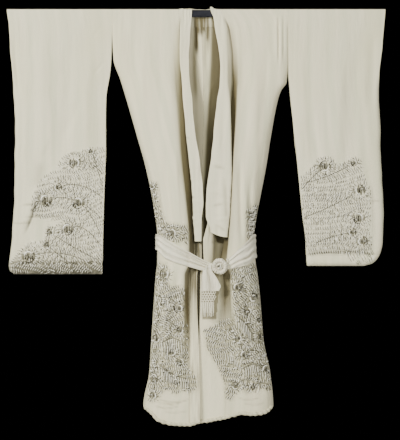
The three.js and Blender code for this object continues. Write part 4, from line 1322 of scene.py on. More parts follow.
def ways_of(table, hand):
    """The ways the stitches run, mirrored for the robe's right side. Angles are from the cloth's width."""
    if hand == "left":
        return table[hand]
    return [(-x, z, 180 - angle) for x, z, angle in table[hand]]


ROLL_WAYS = numbers(3, """
-0.6 -0.868 84  -0.53 -0.86 52  -0.46 -0.87 76  -0.39 -0.86 46  -0.33 -0.868 70  -0.5 -0.886 160
""")
ROLL_PATCH = numbers(2, """-0.636 -0.852  -0.316 -0.852  -0.316 -0.885  -0.63 -0.885""")
SLANTED_PATCH = numbers(2, """0.5 -0.818  0.592 -0.806  0.598 -0.83  0.58 -0.848  0.525 -0.85""")
# Ovals of small stitches: the middle, and the reach across and down.
SLEEVE_SEEDS = blocks(4, """
right -1
-0.36 -0.8 0.03 0.05  -0.36 -0.62 0.034 0.03

left -1
0.395 -0.63 0.035 0.04  0.42 -0.78 0.04 0.02

right 1
-0.36 -0.8 0.03 0.05

left 1
0.4 -0.63 0.035 0.04
""")
SKIRT_SEEDS = blocks(4, """
right -1
-0.11 -0.94 0.035 0.022  -0.145 -1.17 0.012 0.09  -0.13 -0.87 0.018 0.02  -0.125 -1.02 0.03 0.02
-0.1 -1.0 0.016 0.03  -0.13 -0.735 0.02 0.018

left -1
0.155 -0.885 0.04 0.026  0.19 -1.14 0.025 0.04  0.07 -1.09 0.045 0.03  0.222 -1.1 0.016 0.09
0.195 -0.94 0.018 0.035  0.13 -1.14 0.03 0.025  0.19 -0.74 0.014 0.04

right 1
-0.1 -0.93 0.03 0.03

left 1
0.14 -0.95 0.03 0.03
""")
# The corners of each patch of embroidery, in order.
SLEEVE_PATCHES = blocks(2, """
right -1
-0.316 -0.454  -0.388 -0.464  -0.462 -0.488  -0.479 -0.532  -0.53 -0.559  -0.561 -0.62
-0.568 -0.675  -0.537 -0.695  -0.449 -0.706  -0.513 -0.729  -0.517 -0.77  -0.571 -0.78
-0.612 -0.818  -0.636 -0.845  -0.636 -0.852  -0.316 -0.852

left -1
0.346 -0.55  0.38 -0.534  0.4 -0.498  0.445 -0.482  0.48 -0.522  0.515 -0.49  0.552 -0.498
0.568 -0.56  0.585 -0.6  0.583 -0.74  0.59 -0.79  0.58 -0.813  0.374 -0.818  0.354 -0.77
0.354 -0.634

right 1
-0.316 -0.47  -0.45 -0.49  -0.56 -0.56  -0.61 -0.7  -0.63 -0.84  -0.6 -0.886  -0.316 -0.886

left 1
0.342 -0.48  0.46 -0.48  0.56 -0.55  0.6 -0.66  0.61 -0.8  0.36 -0.8
""")
SKIRT_PATCHES = blocks(2, """
right -1
-0.15 -0.845  -0.102 -0.852  -0.102 -0.923  -0.037 -0.93  -0.034 -0.974  -0.031 -1.076
-0.034 -1.178  -0.02 -1.21  -0.004 -1.235  -0.006 -1.272  -0.03 -1.285  -0.05 -1.272  -0.078 -1.29
-0.1 -1.268  -0.122 -1.285  -0.14 -1.31  -0.167 -1.315  -0.17 -1.246  -0.163 -1.11  -0.156 -0.974

left -1
0.105 -0.872  0.204 -0.845  0.214 -0.94  0.231 -1.076  0.245 -1.178  0.255 -1.263  0.24 -1.278
0.2 -1.262  0.17 -1.285  0.14 -1.272  0.115 -1.305  0.094 -1.3  0.09 -1.25  0.07 -1.2  0.034 -1.144
0.02 -1.075  0.082 -1.042  0.116 -1.035  0.119 -0.974  0.102 -0.923

right 1
-0.15 -0.85  -0.1 -0.862  -0.06 -0.85  -0.03 -0.88  -0.024 -1.0  -0.016 -1.12  -0.022 -1.24
-0.05 -1.29  -0.08 -1.268  -0.11 -1.3  -0.14 -1.282  -0.165 -1.31  -0.165 -1.2

left 1
0.2 -0.85  0.14 -0.865  0.08 -0.85  0.045 -0.88  0.034 -1.0  0.03 -1.15  0.034 -1.25  0.07 -1.29
0.11 -1.262  0.15 -1.295  0.19 -1.27  0.24 -1.29  0.235 -1.15
""")
WAIST_PATCHES = blocks(2, """
right -1
-0.17 -0.57  -0.139 -0.58  -0.126 -0.668  -0.109 -0.712  -0.034 -0.722  -0.034 -0.78  -0.136 -0.77
-0.156 -0.668

left -1
0.16 -0.671  0.204 -0.644  0.211 -0.77  0.167 -0.77
""")


# ---------- making the cloth ----------
def weathering(rows, patches, seed):
    """Small unevenness of hung silk, and the puckers that the stitches draw into it."""
    x, z = rows[:, :, 0], rows[:, :, 2]
    stitched = cover(patches, x, z)
    waves = 0.0009 * uneven(x, z, 0.018, 0.22, seed) + 0.0018 * uneven(x, z, 0.055, 0.3, seed + 1)
    pucker = 0.0016 * uneven(x, z, 0.014, 0.017, seed + 2) * stitched
    return waves + pucker, stitched


def edge_fade(rows, from_start, from_end):
    """0 at the first and last column, 1 a given way in."""
    steps = np.linalg.norm(np.diff(rows, axis=1), axis=2)
    run = np.concatenate([np.zeros((rows.shape[0], 1)), np.cumsum(steps, 1)], 1)
    whole = run[:, -1:]
    return soft_step(run / from_start) * soft_step((whole - run) / from_end)


def measured(rows):
    """Width, length and area of the cloth that follows the rows."""
    across = np.linalg.norm(np.diff(rows, axis=1), axis=2).sum(axis=1).max()
    down = np.linalg.norm(np.diff(rows, axis=0), axis=2).sum(axis=0).max()
    a = rows[1:, :-1] - rows[:-1, :-1]
    b = rows[:-1, 1:] - rows[:-1, :-1]
    area = np.linalg.norm(np.cross(a, b), axis=2).sum()
    return float(across), float(down), float(area)


def declare(piece, rows, held, rests_on, with_pieces=()):
    width, length, area = measured(rows)
    area = min(max(area, 0.31 * width * length), width * length)


def body_panel(hand, outward):
    front = outward < 0
    plan = front_plan if front else back_plan
    step = 0.0054 if front else 0.0085
    heights = over_bar() + levels(0.004, HEM_EASE, step) + levels(HEM_EASE - 0.005, HEM_LEVEL, step)
    rows = hang(lambda z: plan(hand, z), 72 if front else 60, heights, hem_middle)
    folds = (FRONT_FOLDS if front else BACK_FOLDS)[hand]
    seed = 3 if hand == "right" else 17
    uneasy, stitched = weathering(rows, skirt_patches(hand, outward), seed + (0 if front else 40))
    x, z = rows[:, :, 0], rows[:, :, 2]
    fade = edge_fade(rows, 0.016, 0.02)
    hangs = soft_step((-z - 0.005) / 0.05)
    creased = sagging(HEM_CREASES[hand], x, z)
    height = 1.6 * fold_height(folds, x, z) * soft_step((-z + 0.01) / 0.03)
    rows = lifted(rows, (height + uneasy * hangs - 0.0016 * creased) * fade, outward)
    if front:
        # Painted shade on the flank between crest and valley: the deeper the cloth lies behind the crest, the
        # darker it is painted.
        crest, crest_y, valley_y = (FRONT[hand].column(n, z[:, 0]) for n in ("crest", "crest_y", "valley_y"))
        behind = rows[:, :, 1] - crest_y
        to_crest = (rows[:, :, 0] - crest) * INWARD[hand]
        beyond = to_crest > 0
        whole = np.maximum(valley_y - crest_y, 0.001)
        reach = mix(0.016, 0.007, soft_step((-z - 0.35) / 0.25))
        depth = 0.75 * np.clip((behind - 0.0008) / reach, 0, 1) + 0.25 * np.clip(behind / whole, 0, 1) ** 1.5
        upper = 0.85 if hand == "right" else 1.1
        depth *= mix(upper, 1.0, soft_step((-z - 0.3) / 0.3)) * (0.25 + 0.75 * soft_step((z + 1.12) / 0.17))
        # A band of painted shade just beyond the crest.
        band = 0.2 if hand == "right" else 0.34
        band = band * np.exp(-(((to_crest - 0.002) / 0.012) ** 2)) * soft_step((-z - 0.1) / 0.12)
        band = band * soft_step((z + 0.86) / 0.1)
        # Painted shade also along the skirt's creases and the hem's creases, and a little near the hem.
        recess = 0.95 * depth * beyond * soft_step(-z / 0.07) + fold_height(SKIRT_CREASE_SHADE[hand], x, z) + band
        recess = recess + 0.32 * creased + 0.07 * soft_step((-z - 1.27) / 0.04)
        recess = np.clip(recess, 0, 0.95)
    else:
        recess = np.full_like(x, BACK_SHADE)
    node = f"{hand}_{SIDE[outward]}_panel"
    values = {"stitched": stitched, "recess": recess}
    shade = None if front else finish_back
    return cloth(node, rows, outward, values, ROBE_SILK, CLOTH, outward, shade=shade)


def inside_shade(x, z):
    """Painted shade: dark on both sides of the middle fold, with painted gather shadows that run down from
    the neck seam.
    """
    middle = np.interp(-z, LIT_FOLD[0], LIT_FOLD[1])
    half = np.interp(-z, LIT_FOLD[0], LIT_FOLD[2])
    off = x - middle
    flank = np.where(off > 0, 0.9, 0.3)
    shade = flank * soft_step((np.abs(off) - half + 0.005) / 0.012)
    # The gathers' painted shade, a painted shadow under the bar at the top, and more painted shade further
    # down.
    shade = shade + 1.5 * fold_height(NECK_GATHER_SHADE, x, z) + 0.45 * soft_step((z + 0.035) / 0.03)
    shade = shade + 0.5 * soft_step((-z - 0.52) / 0.2)
    return np.clip(shade, 0, 0.97)


def shade_inside(piece):
    """The painted shade of the inside of the back, as seen through the open front: dark everywhere but on its
    middle fold.
    """
    points = get_points(piece.data)
    half = len(points) // 2
    inner = inside_shade(points[half:, 0], points[half:, 2])
    add_value(piece.data, "recess", np.concatenate([np.full(half, BACK_SHADE), inner]))


def finish_back(piece):
    shade_inside(piece)
    cut_neck(piece)


BACK_SHADE = 0.06
# The depth below the bar, and the middle and half width there, of the fold that is lit.
LIT_FOLD = (
    (0.0, 0.06, 0.158, 0.26, 0.396, 0.6),
    (0.013, 0.013, 0.0152, 0.0186, 0.0142, 0.012),
    (0.033, 0.031, 0.027, 0.0185, 0.0145, 0.007),
)


def cut_neck(piece):
    """Takes out the cloth above the neck seam, where the collar stands instead."""
    width = NECK_CUT["left"] - NECK_CUT["right"]
    height = 0.08
    middle = ((NECK_CUT["left"] + NECK_CUT["right"]) / 2, 0.03, NECK_CUT["bottom"] + height / 2)
    select_nothing()
    bpy.ops.mesh.primitive_cube_add(size=1, location=middle, scale=(width, 0.08, height))
    block = bpy.context.object
    apply(piece, "BOOLEAN", object=block, operation="DIFFERENCE", solver="EXACT")
    bpy.data.objects.remove(block)
    # The cut edge gets the inside's painted shade too.
    points = get_points(piece.data)
    values = np.zeros(len(points), np.float32)
    piece.data.attributes["recess"].data.foreach_get("value", values)
    off = np.abs(points[:, 0] - middle[0])
    cut = (points[:, 2] > NECK_CUT["bottom"] - 0.002) & (off < width / 2 + 0.0002)
    values[cut] = inside_shade(points[cut, 0], points[cut, 2])
    add_value(piece.data, "recess", values)


def sleeve(hand, outward):
    table = SLEEVE[hand]
    bottom = SLEEVE_BOTTOM[hand]
    step = 0.0043 if outward < 0 else 0.008
    heights = over_bar() + levels(0.004, bottom + 0.044, step) + levels(bottom + 0.04, bottom + 0.008, 0.0024)
    heights += [(1.0, bottom + 0.008 * (1 - t) ** 2) for t in (0.2, 0.4, 0.6, 0.8, 1.0)]
    closing = 1 - 0.07 * (1 - np.linspace(0, 1, 13)[1:]) ** 2
    shares = np.concatenate([np.linspace(0, 0.93, 70 if outward < 0 else 56), closing])
    rows = np.zeros((len(heights), len(shares), 3))
    share_of_side = np.array([[share] for share, _ in heights])
    down = [level for _, level in heights]
    z = np.array([down]).T + 0 * shares
    outer, inner, depth = (table.column(name, down) for name in table.columns)
    waver = uneven(z[:, :1] * 0 + 0.4, z[:, :1], 1.0, 0.045, 301.0 if hand == "right" else 311.0)
    hang_free = np.clip((-z[:, :1] - 0.03) / 0.1, 0, 1)
    outer = outer + 0.0022 * waver * hang_free
    inner = inner + 0.0018 * waver[::-1] * np.clip((-z[:, :1] - 0.3) / 0.1, 0, 1)
    x = mix(inner, outer, shares[None, :])
    to_outer = np.clip(np.abs(x - outer) / SLEEVE_EDGE, 0, 1)
    rounded = np.sqrt(1 - (1 - to_outer) ** 2)
    opened = np.array([[openness(level, CUFF_END)] for level in down])
    edge = mix(rounded, 1.0, opened)
    foot = np.sqrt(1 - (1 - np.clip((z - bottom) / SLEEVE_FOOT, 0, 1)) ** 2)
    hangs = np.clip((-z - 0.06) / 0.2, 0, 1)
    inner_edge = mix(1.0, 0.75, hangs * (1 - np.clip(shares[None, :] / 0.2, 0, 1)))
    rows[:, :, 0] = x
    rows[:, :, 2] = z
    seed = (60 if hand == "right" else 80) + outward
    patches = [SLEEVE_PATCHES[hand, outward]] + ([ROLL_PATCH] if hand == "right" else [])
    uneasy, stitched = weathering(rows, patches, seed)
    soft = 1.5 * fold_height(SLEEVE_FOLDS[hand, outward], x, z) * np.clip((-z - 0.02) / 0.08, 0, 1)
    padded = (z - bottom) / 0.036
    full = 1.0 if hand == "right" else 0.6
    lumps = 1 + 0.35 * uneven(x, z, 0.022, 0.05, 7.0)
    roll = np.where(padded < 1, 0.0042 * full * lumps * np.sin(math.pi * np.clip(padded, 0, 1)) ** 0.7, 0)
    groove_at = 1.06 + 0.08 * uneven(x, 0 * z, 0.05, 1.0, 9.0)
    groove = -0.0036 * full * np.exp(-(((padded - groove_at) / 0.1) ** 2))
    ripple = 0.0007 * uneven(x, z, 0.006, 0.03, 5.0) * (padded < 1.1)
    fade = soft_step(shares[None, :] / 0.06) * (0.25 + 0.75 * soft_step(to_outer))
    creased = sagging(SLEEVE_CREASES[hand], x, z)
    lift = (soft + uneasy * hangs + roll + groove + ripple - 0.0012 * creased) * fade * edge * foot
    rows[:, :, 1] = outward * np.maximum(SEAM, (depth * inner_edge * share_of_side * edge * foot) + lift)
    rows[:3, :, 1] = outward * np.maximum(SEAM, share_of_side[:3] * OVER_BAR_SIDE)
    rows[:, :, 2] += 0.0016 * uneven(x, 0 * z, 0.03, 1.0, 13.0) * (padded < 1.2) * np.clip(padded / 0.2, 0, 1)
    # Painted shade: the right sleeve's padded roll is painted dark, darkest at its bottom and mottled, with
    # painted shade in the groove above it.
    dark_roll = 0.9 if hand == "right" else 0.0
    dark_roll = dark_roll * mix(1.1, 0.75, soft_step((padded - 0.3) / 0.7))
    speckle = 0.85 + 0.6 * uneven(x, z, 0.009, 0.007, 15.0)
    groove_shade = 0.5 if hand == "right" else 0.12
    shaded = groove_shade * np.exp(-(((padded - 1.08) / 0.16) ** 2)) + dark_roll * speckle * (padded < 1.05)
    # Painted shade along the creases; the stitched cloth is also painted darker near the sleeve's bottom.
    lines = fold_height(SLEEVE_CREASE_SHADE[hand], x, z) if outward < 0 else 0
    lines = lines + 0.36 * creased
    deepening = 0.32 * stitched * soft_step((bottom + 0.12 - z) / 0.1)
    recess = np.clip(shaded * (0.4 + 0.6 * stitched) + lines + deepening, 0, 0.9)
    values = {"stitched": stitched, "recess": recess}
    return cloth(f"{hand}_sleeve_{SIDE[outward]}", rows, outward, values, SLEEVE_SILK, CLOTH, outward)


def collar(hand):
    end_outer, end_inner = COLLAR_END[hand]
    heights = [(-0.785, OVER_BAR_TOP), (-0.5, OVER_BAR_TOP), (-0.2, OVER_BAR_TOP)] + over_bar()
    heights += levels(0.003, end_outer, 0.0048)
    rows = hang(lambda z: collar_plan(hand, z), 34, heights)
    x, z = rows[:, :, 0].copy(), rows[:, :, 2].copy()
    across = np.linspace(0, 1, rows.shape[1])[None, :]
    seed = 101 if hand == "right" else 131
    waver = uneven(0 * z + 0.3, z, 1.0, 0.05, seed + 7) * np.clip((-z - 0.05) / 0.1, 0, 1)
    rows[:, :, 0] += 0.0022 * waver * np.clip((across - 0.5) / 0.5, 0, 1) ** 2
    gathers = 0.0016 * uneven(x, z, 0.0055, 0.06, seed) * soft_step((z + 0.06) / 0.05)
    lengthwise = 0.0017 * uneven(x, z, 0.011, 0.2, seed + 1) + 0.0018 * uneven(x, z, 0.05, 0.08, seed + 2)
    crosswise = 0.0012 * uneven(x, z, 0.05, 0.012, seed + 3) * soft_step((-z - 0.42) / 0.15)
    fade = soft_step((across - 0.1) / 0.3)
    creases = fold_height(COLLAR_FOLDS[hand], x, z)
    rows = lifted(rows, (gathers + lengthwise + crosswise + creases) * fade, -1)
    rise, middle, half = (0.0085, 0.046, 0.009) if hand == "left" else (0.002, -0.05, 0.012)
    rows[:, :, 2] += rise * np.exp(-(((x - middle) / half) ** 2)) * soft_step(z / 0.012)
    if end_inner != end_outer:
        slant = soft_step((-z - 0.6) / (-end_outer - 0.6)) * (np.clip((across - 0.5) / 0.5, 0, 1) ** 2)
        rows[:, :, 2] += (end_inner - end_outer) * slant
    # Painted shade on the collar's side by the valley, below the bar, and in its creases.
    recess = 0.8 * soft_step((0.3 - across) / 0.26) * soft_step(-z / 0.05)
    recess = np.clip(recess + np.clip(-creases / 0.006, 0, 0.3) + 0 * x, 0, 0.9)
    values = {"stitched": 0 * x, "recess": recess}
    return cloth(f"{hand}_collar", rows, -1, values, COLLAR_SILK, COLLAR_BAND, slot="collar_silk")


def neck_band():
    """The collar's stretch behind the neck, seen from the front as a thin edge above the bar."""
    left, right = NECK_CUT["right"] + GAP, NECK_CUT["left"] - GAP
    across = np.linspace(left, right, 48)
    down = np.linspace(0, 1, 18)[:, None]
    top = 0.0172 - 0.0036 * np.exp(-(((across - 0.012) / 0.018) ** 2))
    top = top + 0.0012 * np.sin(across * 160)
    z = mix(top[None, :], NECK_CUT["bottom"], down)
    x = across[None, :] + 0 * z
    y = 0.0104 + 0.0006 * uneven(x, z, 0.012, 0.04, 151.0) + 0 * z
    rows = np.stack([x, y, z], axis=-1)
    values = {"stitched": 0 * z}
    return cloth("neck_band", rows, 1, values, COLLAR_SILK, BAND, slot="collar_silk", shade=shade_inside)


NET_SHADOW = numbers(2, """0.012 -0.93  0.072 -0.93  0.066 -0.985  0.062 -1.036  0.016 -1.036""")


def overlap_strip(hand):
    step = 0.006
    top = -0.781 if hand == "right" else -0.7
    heights = levels(top, HEM_EASE, step) + levels(HEM_EASE - step, HEM_LEVEL, step)
    rows = hang(lambda z: overlap_plan(hand, z), 26, heights, hem_middle)
    x, z = rows[:, :, 0], rows[:, :, 2]
    seed = 171 if hand == "right" else 191
    gathers = 0.0018 * uneven(x, z, 0.007, 0.06, seed) * soft_step((z + 1.02) / 0.12)
    waves = 0.0012 * uneven(x, z, 0.016, 0.2, seed + 1)
    across = np.linspace(0, 1, rows.shape[1])[None, :]
    rows = lifted(rows, (1.4 * gathers + waves) * soft_step((across - 0.06) / 0.2), -1)
    # Painted shade on the strip's side by the panel, less towards the hem.
    side_shade = 0.8 * soft_step((0.42 - across) / 0.36) * (0.25 + 0.75 * soft_step((z + 1.25) / 0.22))
    # On the right, painted shade in the upper part with streaks of painted crease shade; on the left, a
    # painted shadow under the knot and behind the net.
    if hand == "right":
        upper = soft_step((z + 1.14) / 0.26) * (0.72 + 0.5 * uneven(x, z, 0.006, 0.08, 177.0))
        streaks = 0.4 * uneven(x, z, 0.0055, 0.07, 179.0) * soft_step((-z - 0.9) / 0.1)
        upper = np.maximum(upper, 0.14 + streaks)
    else:
        under_knot = np.exp(-(((x - 0.062) / 0.022) ** 2)) * soft_step((z + 0.96) / 0.05)
        behind_net = within(NET_SHADOW, x, z) * 0.72
        upper = np.maximum(0.7 * under_knot, behind_net)
        side_shade = side_shade * mix(1.0, 0.5, soft_step((-z - 0.98) / 0.1))
    recess = np.clip(np.maximum(side_shade, upper), 0, 0.95)
    values = {"stitched": cover(skirt_patches(hand, -1), x, z), "recess": recess}
    return cloth(f"{hand}_front_overlap", rows, -1, values, ROBE_SILK, CLOTH)


def tube(name, path, radius, around=12, stitch=None, nodes=()):
    """A round closed roll along a path. stitch gives the share of the radius at each run."""
    run = way_along(path)
    along = np.gradient(path, axis=0)
    along /= np.linalg.norm(along, axis=1)[:, None]
    up = np.array([0.0, 0.0, 1.0])
    points = []
    uvs = []
    for i, middle in enumerate(path):
        side = np.cross(along[i], up)
        side /= np.linalg.norm(side)
        over = np.cross(side, along[i])
        share = stitch(run[i]) if stitch else 1.0
        for k in range(around):
            angle = 2 * math.pi * k / around
            points.append(middle + radius * share * (side * math.cos(angle) + over * math.sin(angle)))
            uvs.append((run[i], angle * radius))
    points.append(path[0])
    points.append(path[-1])
    uvs.extend([(0, 0), (run[-1], 0)])
    count = len(path)
    faces = []
    for i in range(count - 1):
        for k in range(around):
            n = (k + 1) % around
            faces.append((i * around + k, i * around + n, (i + 1) * around + n, (i + 1) * around + k))
    for k in range(around):
        n = (k + 1) % around
        faces.append((count * around, n, k))
        faces.append((count * around + 1, (count - 1) * around + k, (count - 1) * around + n))
    # The roll takes some of the stitched grey and a light even painted shade.
    values = {"stitched": [0.35] * len(points), "recess": [0.1] * len(points)}
    return joined(name, points, faces, uvs, ROBE_SILK, "robe_silk", values, nodes)


def hem_roll(hand, outward):
    if outward < 0:
        panel = smooth_line(front_plan(hand, HEM_LEVEL))[int(1.6 * STEPS) : int(5.2 * STEPS)]
        strip = smooth_line(overlap_plan(hand, HEM_LEVEL))[2 * STEPS :]
        line = np.vstack([panel, strip])
    else:
        line = smooth_line(back_plan(hand, HEM_LEVEL))[int(1.6 * STEPS) : int(5.93 * STEPS)]
    line = even(smooth_line(even(line, 9)), 190)
    path = np.column_stack([line, [HEM.at("z", x) + HEM_ROLL for x in line[:, 0]]])
    seed = 7.0 if hand == "right" else 9.0

    def stitch(run):
        scallop = 0.13 * math.sin(run * 2 * math.pi / 0.017 + 1.5 * math.sin(run * 31))
        return 1.0 + scallop + 0.22 * noise.noise(Vector((run * 75, seed, 0)))

    node = f"{hand}_{SIDE[outward]}_hem_roll"
    piece = tube(f"{node}_cloth", path, HEM_ROLL * 0.98, 12, stitch, [node])
    return piece


# ---------- the sash ----------
def moved_out(line, distance):
    along = np.gradient(line, axis=0)
    along /= np.maximum(np.linalg.norm(along, axis=1), 1e-9)[:, None]
    return line + np.column_stack([-along[:, 1], along[:, 0]]) * distance


def band_rows(line_at, edges, rows_across, count):
    """A band around the waist, from its line at each height and its two edges."""
    levels_z = np.linspace(-0.88, -0.745, 10)
    lines = np.array([even(line_at(z), count) for z in levels_z])
    middle = even(line_at(SASH_MIDDLE), count)
    upper = np.array([edges.at("upper", x) for x in middle[:, 0]])
    lower = np.array([edges.at("lower", x) for x in middle[:, 0]])
    rows = []
    for share in np.linspace(0, 1, rows_across):
        z = mix(upper, lower, share)
        x = [np.interp(z[i], levels_z, lines[:, i, 0]) for i in range(count)]
        y = [np.interp(z[i], levels_z, lines[:, i, 1]) for i in range(count)]
        rows.append(np.column_stack([x, y, z]))
    return np.array(rows)


def sash_relief(rows, seed, strength=1.0):
    """Lengthwise creases that wander, gather and part as the silk is drawn around the waist."""
    down, across = rows.shape[:2]
    share = np.linspace(0, 1, down)[:, None] + np.zeros((1, across))
    run = np.linspace(0, 1, across)[None, :] + 0 * share
    wander = 0.12 * uneven(share, run, 0.7, 0.5, seed)
    main = np.cos((share + wander) * 3.2 * 2 * math.pi + 1.2 * run)
    fine = uneven(share, run, 0.09, 0.6, seed + 1)
    rim = soft_step(share / 0.07) * soft_step((1 - share) / 0.07)
    calm = 0.3 + 0.7 * soft_step(run / 0.1) * soft_step((1 - run) / 0.1)
    return strength * (0.0021 * main + 0.0024 * fine) * rim * calm - 0.0012 * (1 - rim)


def crease_shade(rows, seed):
    """The sash's painted shade: darker in its creases."""
    low = np.clip(-sash_relief(rows, seed) / 0.0036, 0, 1) ** 1.3
    return {"stitched": 0 * low, "recess": 0.5 * low}


def sash_front(hand):
    out = (BAND + SASH_EASE + COLLAR_BAND) * -INWARD[hand]
    seed = 211 if hand == "right" else 231

    def line_at(z):
        line = smooth_line(front_plan(hand, z))[: 4 * STEPS + 1]
        return np.vstack([moved_out(line, out), np.array(SASH_BRIDGE[hand])])

    rows = band_rows(line_at, SASH_EDGES[hand], 30, 84)
    rows = lifted(rows, sash_relief(rows, seed), -1)
    rows[:, :, 1] = np.minimum(rows[:, :, 1], -SEAM)
    rows[:, 0, 1] = -SEAM
    return cloth(f"{hand}_sash_front", rows, -1, crease_shade(rows, seed), SASH_SILK, BAND, -1, "sash_silk")


def sash_back():
    out = BAND + SASH_EASE

    def line_at(z):
        right = moved_out(smooth_line(back_plan("right", z))[: 4 * STEPS + 1], out)
        left = moved_out(smooth_line(back_plan("left", z))[: 4 * STEPS + 1], -out)[::-1]
        return np.vstack([right, left])

    rows = band_rows(line_at, SASH_EDGES["back"], 26, 110)
    seed = 251
    rows = lifted(rows, sash_relief(rows, seed, 0.7), 1)
    rows[:, :, 1] = np.maximum(rows[:, :, 1], SEAM)
    return cloth("sash_back", rows, 1, crease_shade(rows, seed), SASH_SILK, BAND, 1, "sash_silk")


def sash_knot():
    """A round bun of gathered silk: pleats run around its rim into a ring about the eye."""
    half = 0.013
    profile = numbers(2, """0.0 0.86  0.22 0.84  0.34 0.74  0.46 0.52  0.55 0.78  0.66 0.9
        0.8 0.78  0.93 0.4  1.0 0.0  0.9 -0.55  0.55 -1.0  0.0 -1.0""")
    line = even(smooth_line(profile, 8), 60)
    select_nothing()
    bpy.ops.mesh.primitive_uv_sphere_add(segments=96, ring_count=60, radius=1)
    piece = bpy.context.object
    piece.name = "sash_knot_cloth"
    points = get_points(piece.data)
    turn = np.arctan2(points[:, 1], points[:, 0])
    share = np.arccos(np.clip(points[:, 2], -1, 1)) / math.pi
    radius = np.interp(share, np.linspace(0, 1, 60), line[:, 0])
    out = np.interp(share, np.linspace(0, 1, 60), line[:, 1])
    places = [(3.2 * math.cos(a), 3.2 * math.sin(a), s * 1.5) for a, s in zip(turn, share)]
    pleat = np.array([noise.noise(Vector(place)) for place in places])
    lines = np.sin(turn * 7 + 16 * pleat + 9 * share)
    weight = soft_step((radius - 0.45) / 0.2)
    radius = radius * (1 + (0.06 * pleat + 0.022 * lines + 0.07 * np.clip(out * 1.6, 0, 1)) * weight)
    out = out + (0.1 * lines + 0.16 * pleat) * weight * np.where(out > 0, 1, 0.3)
    x = KNOT.x + KNOT_RADIUS * radius * np.cos(turn)
    z = KNOT.z + KNOT_RADIUS * radius * np.sin(turn)
    set_points(piece.data, np.column_stack([x, KNOT.y - half * out, z]))
    lay_uv(piece.data, np.column_stack([turn * KNOT_RADIUS, share * 0.06]))
    add_value(piece.data, "stitched", 0 * turn)
    # Painted shade in the ring round the eye and in the pleats' hollows, not on the knot's back.
    low = 0.5 * np.exp(-(((radius - 0.46) / 0.07) ** 2)) + 0.45 * np.clip(-lines, 0, 1) * weight
    add_value(piece.data, "recess", low * (out > -0.2))
    close_up(piece)
    finish_piece(piece, SASH_SILK, "sash_silk", "sash_knot")
    return piece


def sash_tail():
    top = -0.85
    heights = np.linspace(top, -0.94, 34)
    across = np.linspace(0, 1, 42)
    rows = np.zeros((len(heights), len(across), 3))
    for i, z in enumerate(heights):
        left, right = TAIL.at("left", z), TAIL.at("right", z)
        grows = clamp((top - z) / 0.04, 0.2, 1)
        fold = 0.0024 * grows * np.cos(across * 1.4 * 2 * math.pi)
        crease = -0.0022 * np.exp(-(((across - mix(0.55, 0.42, grows)) / 0.035) ** 2))
        rows[i] = np.column_stack([mix(left, right, across), TAIL_FRONT + fold - crease, 0 * across + z])
    x, z = rows[:, :, 0].copy(), rows[:, :, 2].copy()
    across = across[None, :]
    turn = np.clip((z + 0.866) / 0.016, 0, 1)
    rows[:, :, 2] -= 0.016 * turn * np.clip(1 - across / 0.9, 0, 1) ** 1.2
    fine = uneven(x, z, 0.006, 0.06, 271.0)
    rows = lifted(rows, 0.0016 * fine + 0.0022 * np.sin(math.pi * turn) - 0.0012 * turn**2, -1)
    # Painted shade in the wrinkles' hollows and along the lengthwise fold.
    shade = np.clip(-fine, 0, 1) * 0.5 + 0.35 * np.exp(-(((across - 0.48) / 0.07) ** 2))
    values = {"stitched": 0 * x, "recess": shade + 0 * x}
    return cloth("sash_tail", rows, -1, values, SASH_SILK, CLOTH, slot="sash_silk")


def copies(name, pattern, places):
    """One mesh of a modelled piece set at many places."""
    mesh = pattern.data
    points = get_points(mesh)
    faces = [tuple(p.vertices) for p in mesh.polygons]
    all_points = np.vstack([points + place for place in places])
    all_faces = []
    for i in range(len(places)):
        all_faces.extend(tuple(v + i * len(points) for v in face) for face in faces)
    piece = new_piece(name, all_points.tolist(), all_faces, all_points[:, ::2])
    bpy.data.objects.remove(pattern)
    only(piece)
    bpy.ops.object.shade_smooth()
    return piece


def net_places():
    places = []
    pitch = 0.0086
    for row in range(5):
        z = NET["top"] - pitch * 0.92 * (row + 0.5)
        right = mix(NET["right"], NET["foot_right"], (row + 1) / 5)
        x = NET["left"] + 0.0044 + (row % 2) * pitch / 2
        while x < right - 0.003:
            places.append((x, TAIL_FRONT + 0.001, z))
            x += pitch
    return places


def sash_net():
    """The tail's end, knotted into a net of small round meshes."""
    select_nothing()
    upright = (math.pi / 2, 0, 0)
    bpy.ops.mesh.primitive_torus_add(
        major_radius=0.0038, minor_radius=0.0009, major_segments=18, minor_segments=8, rotation=upright
    )
    ring = bpy.context.object
    bpy.ops.object.transform_apply(location=False, rotation=True, scale=True)
    rings = copies("sash_net_meshes", ring, net_places())
    finish_piece(rings, SASH_SILK, "sash_silk", "sash_net")
    return rings


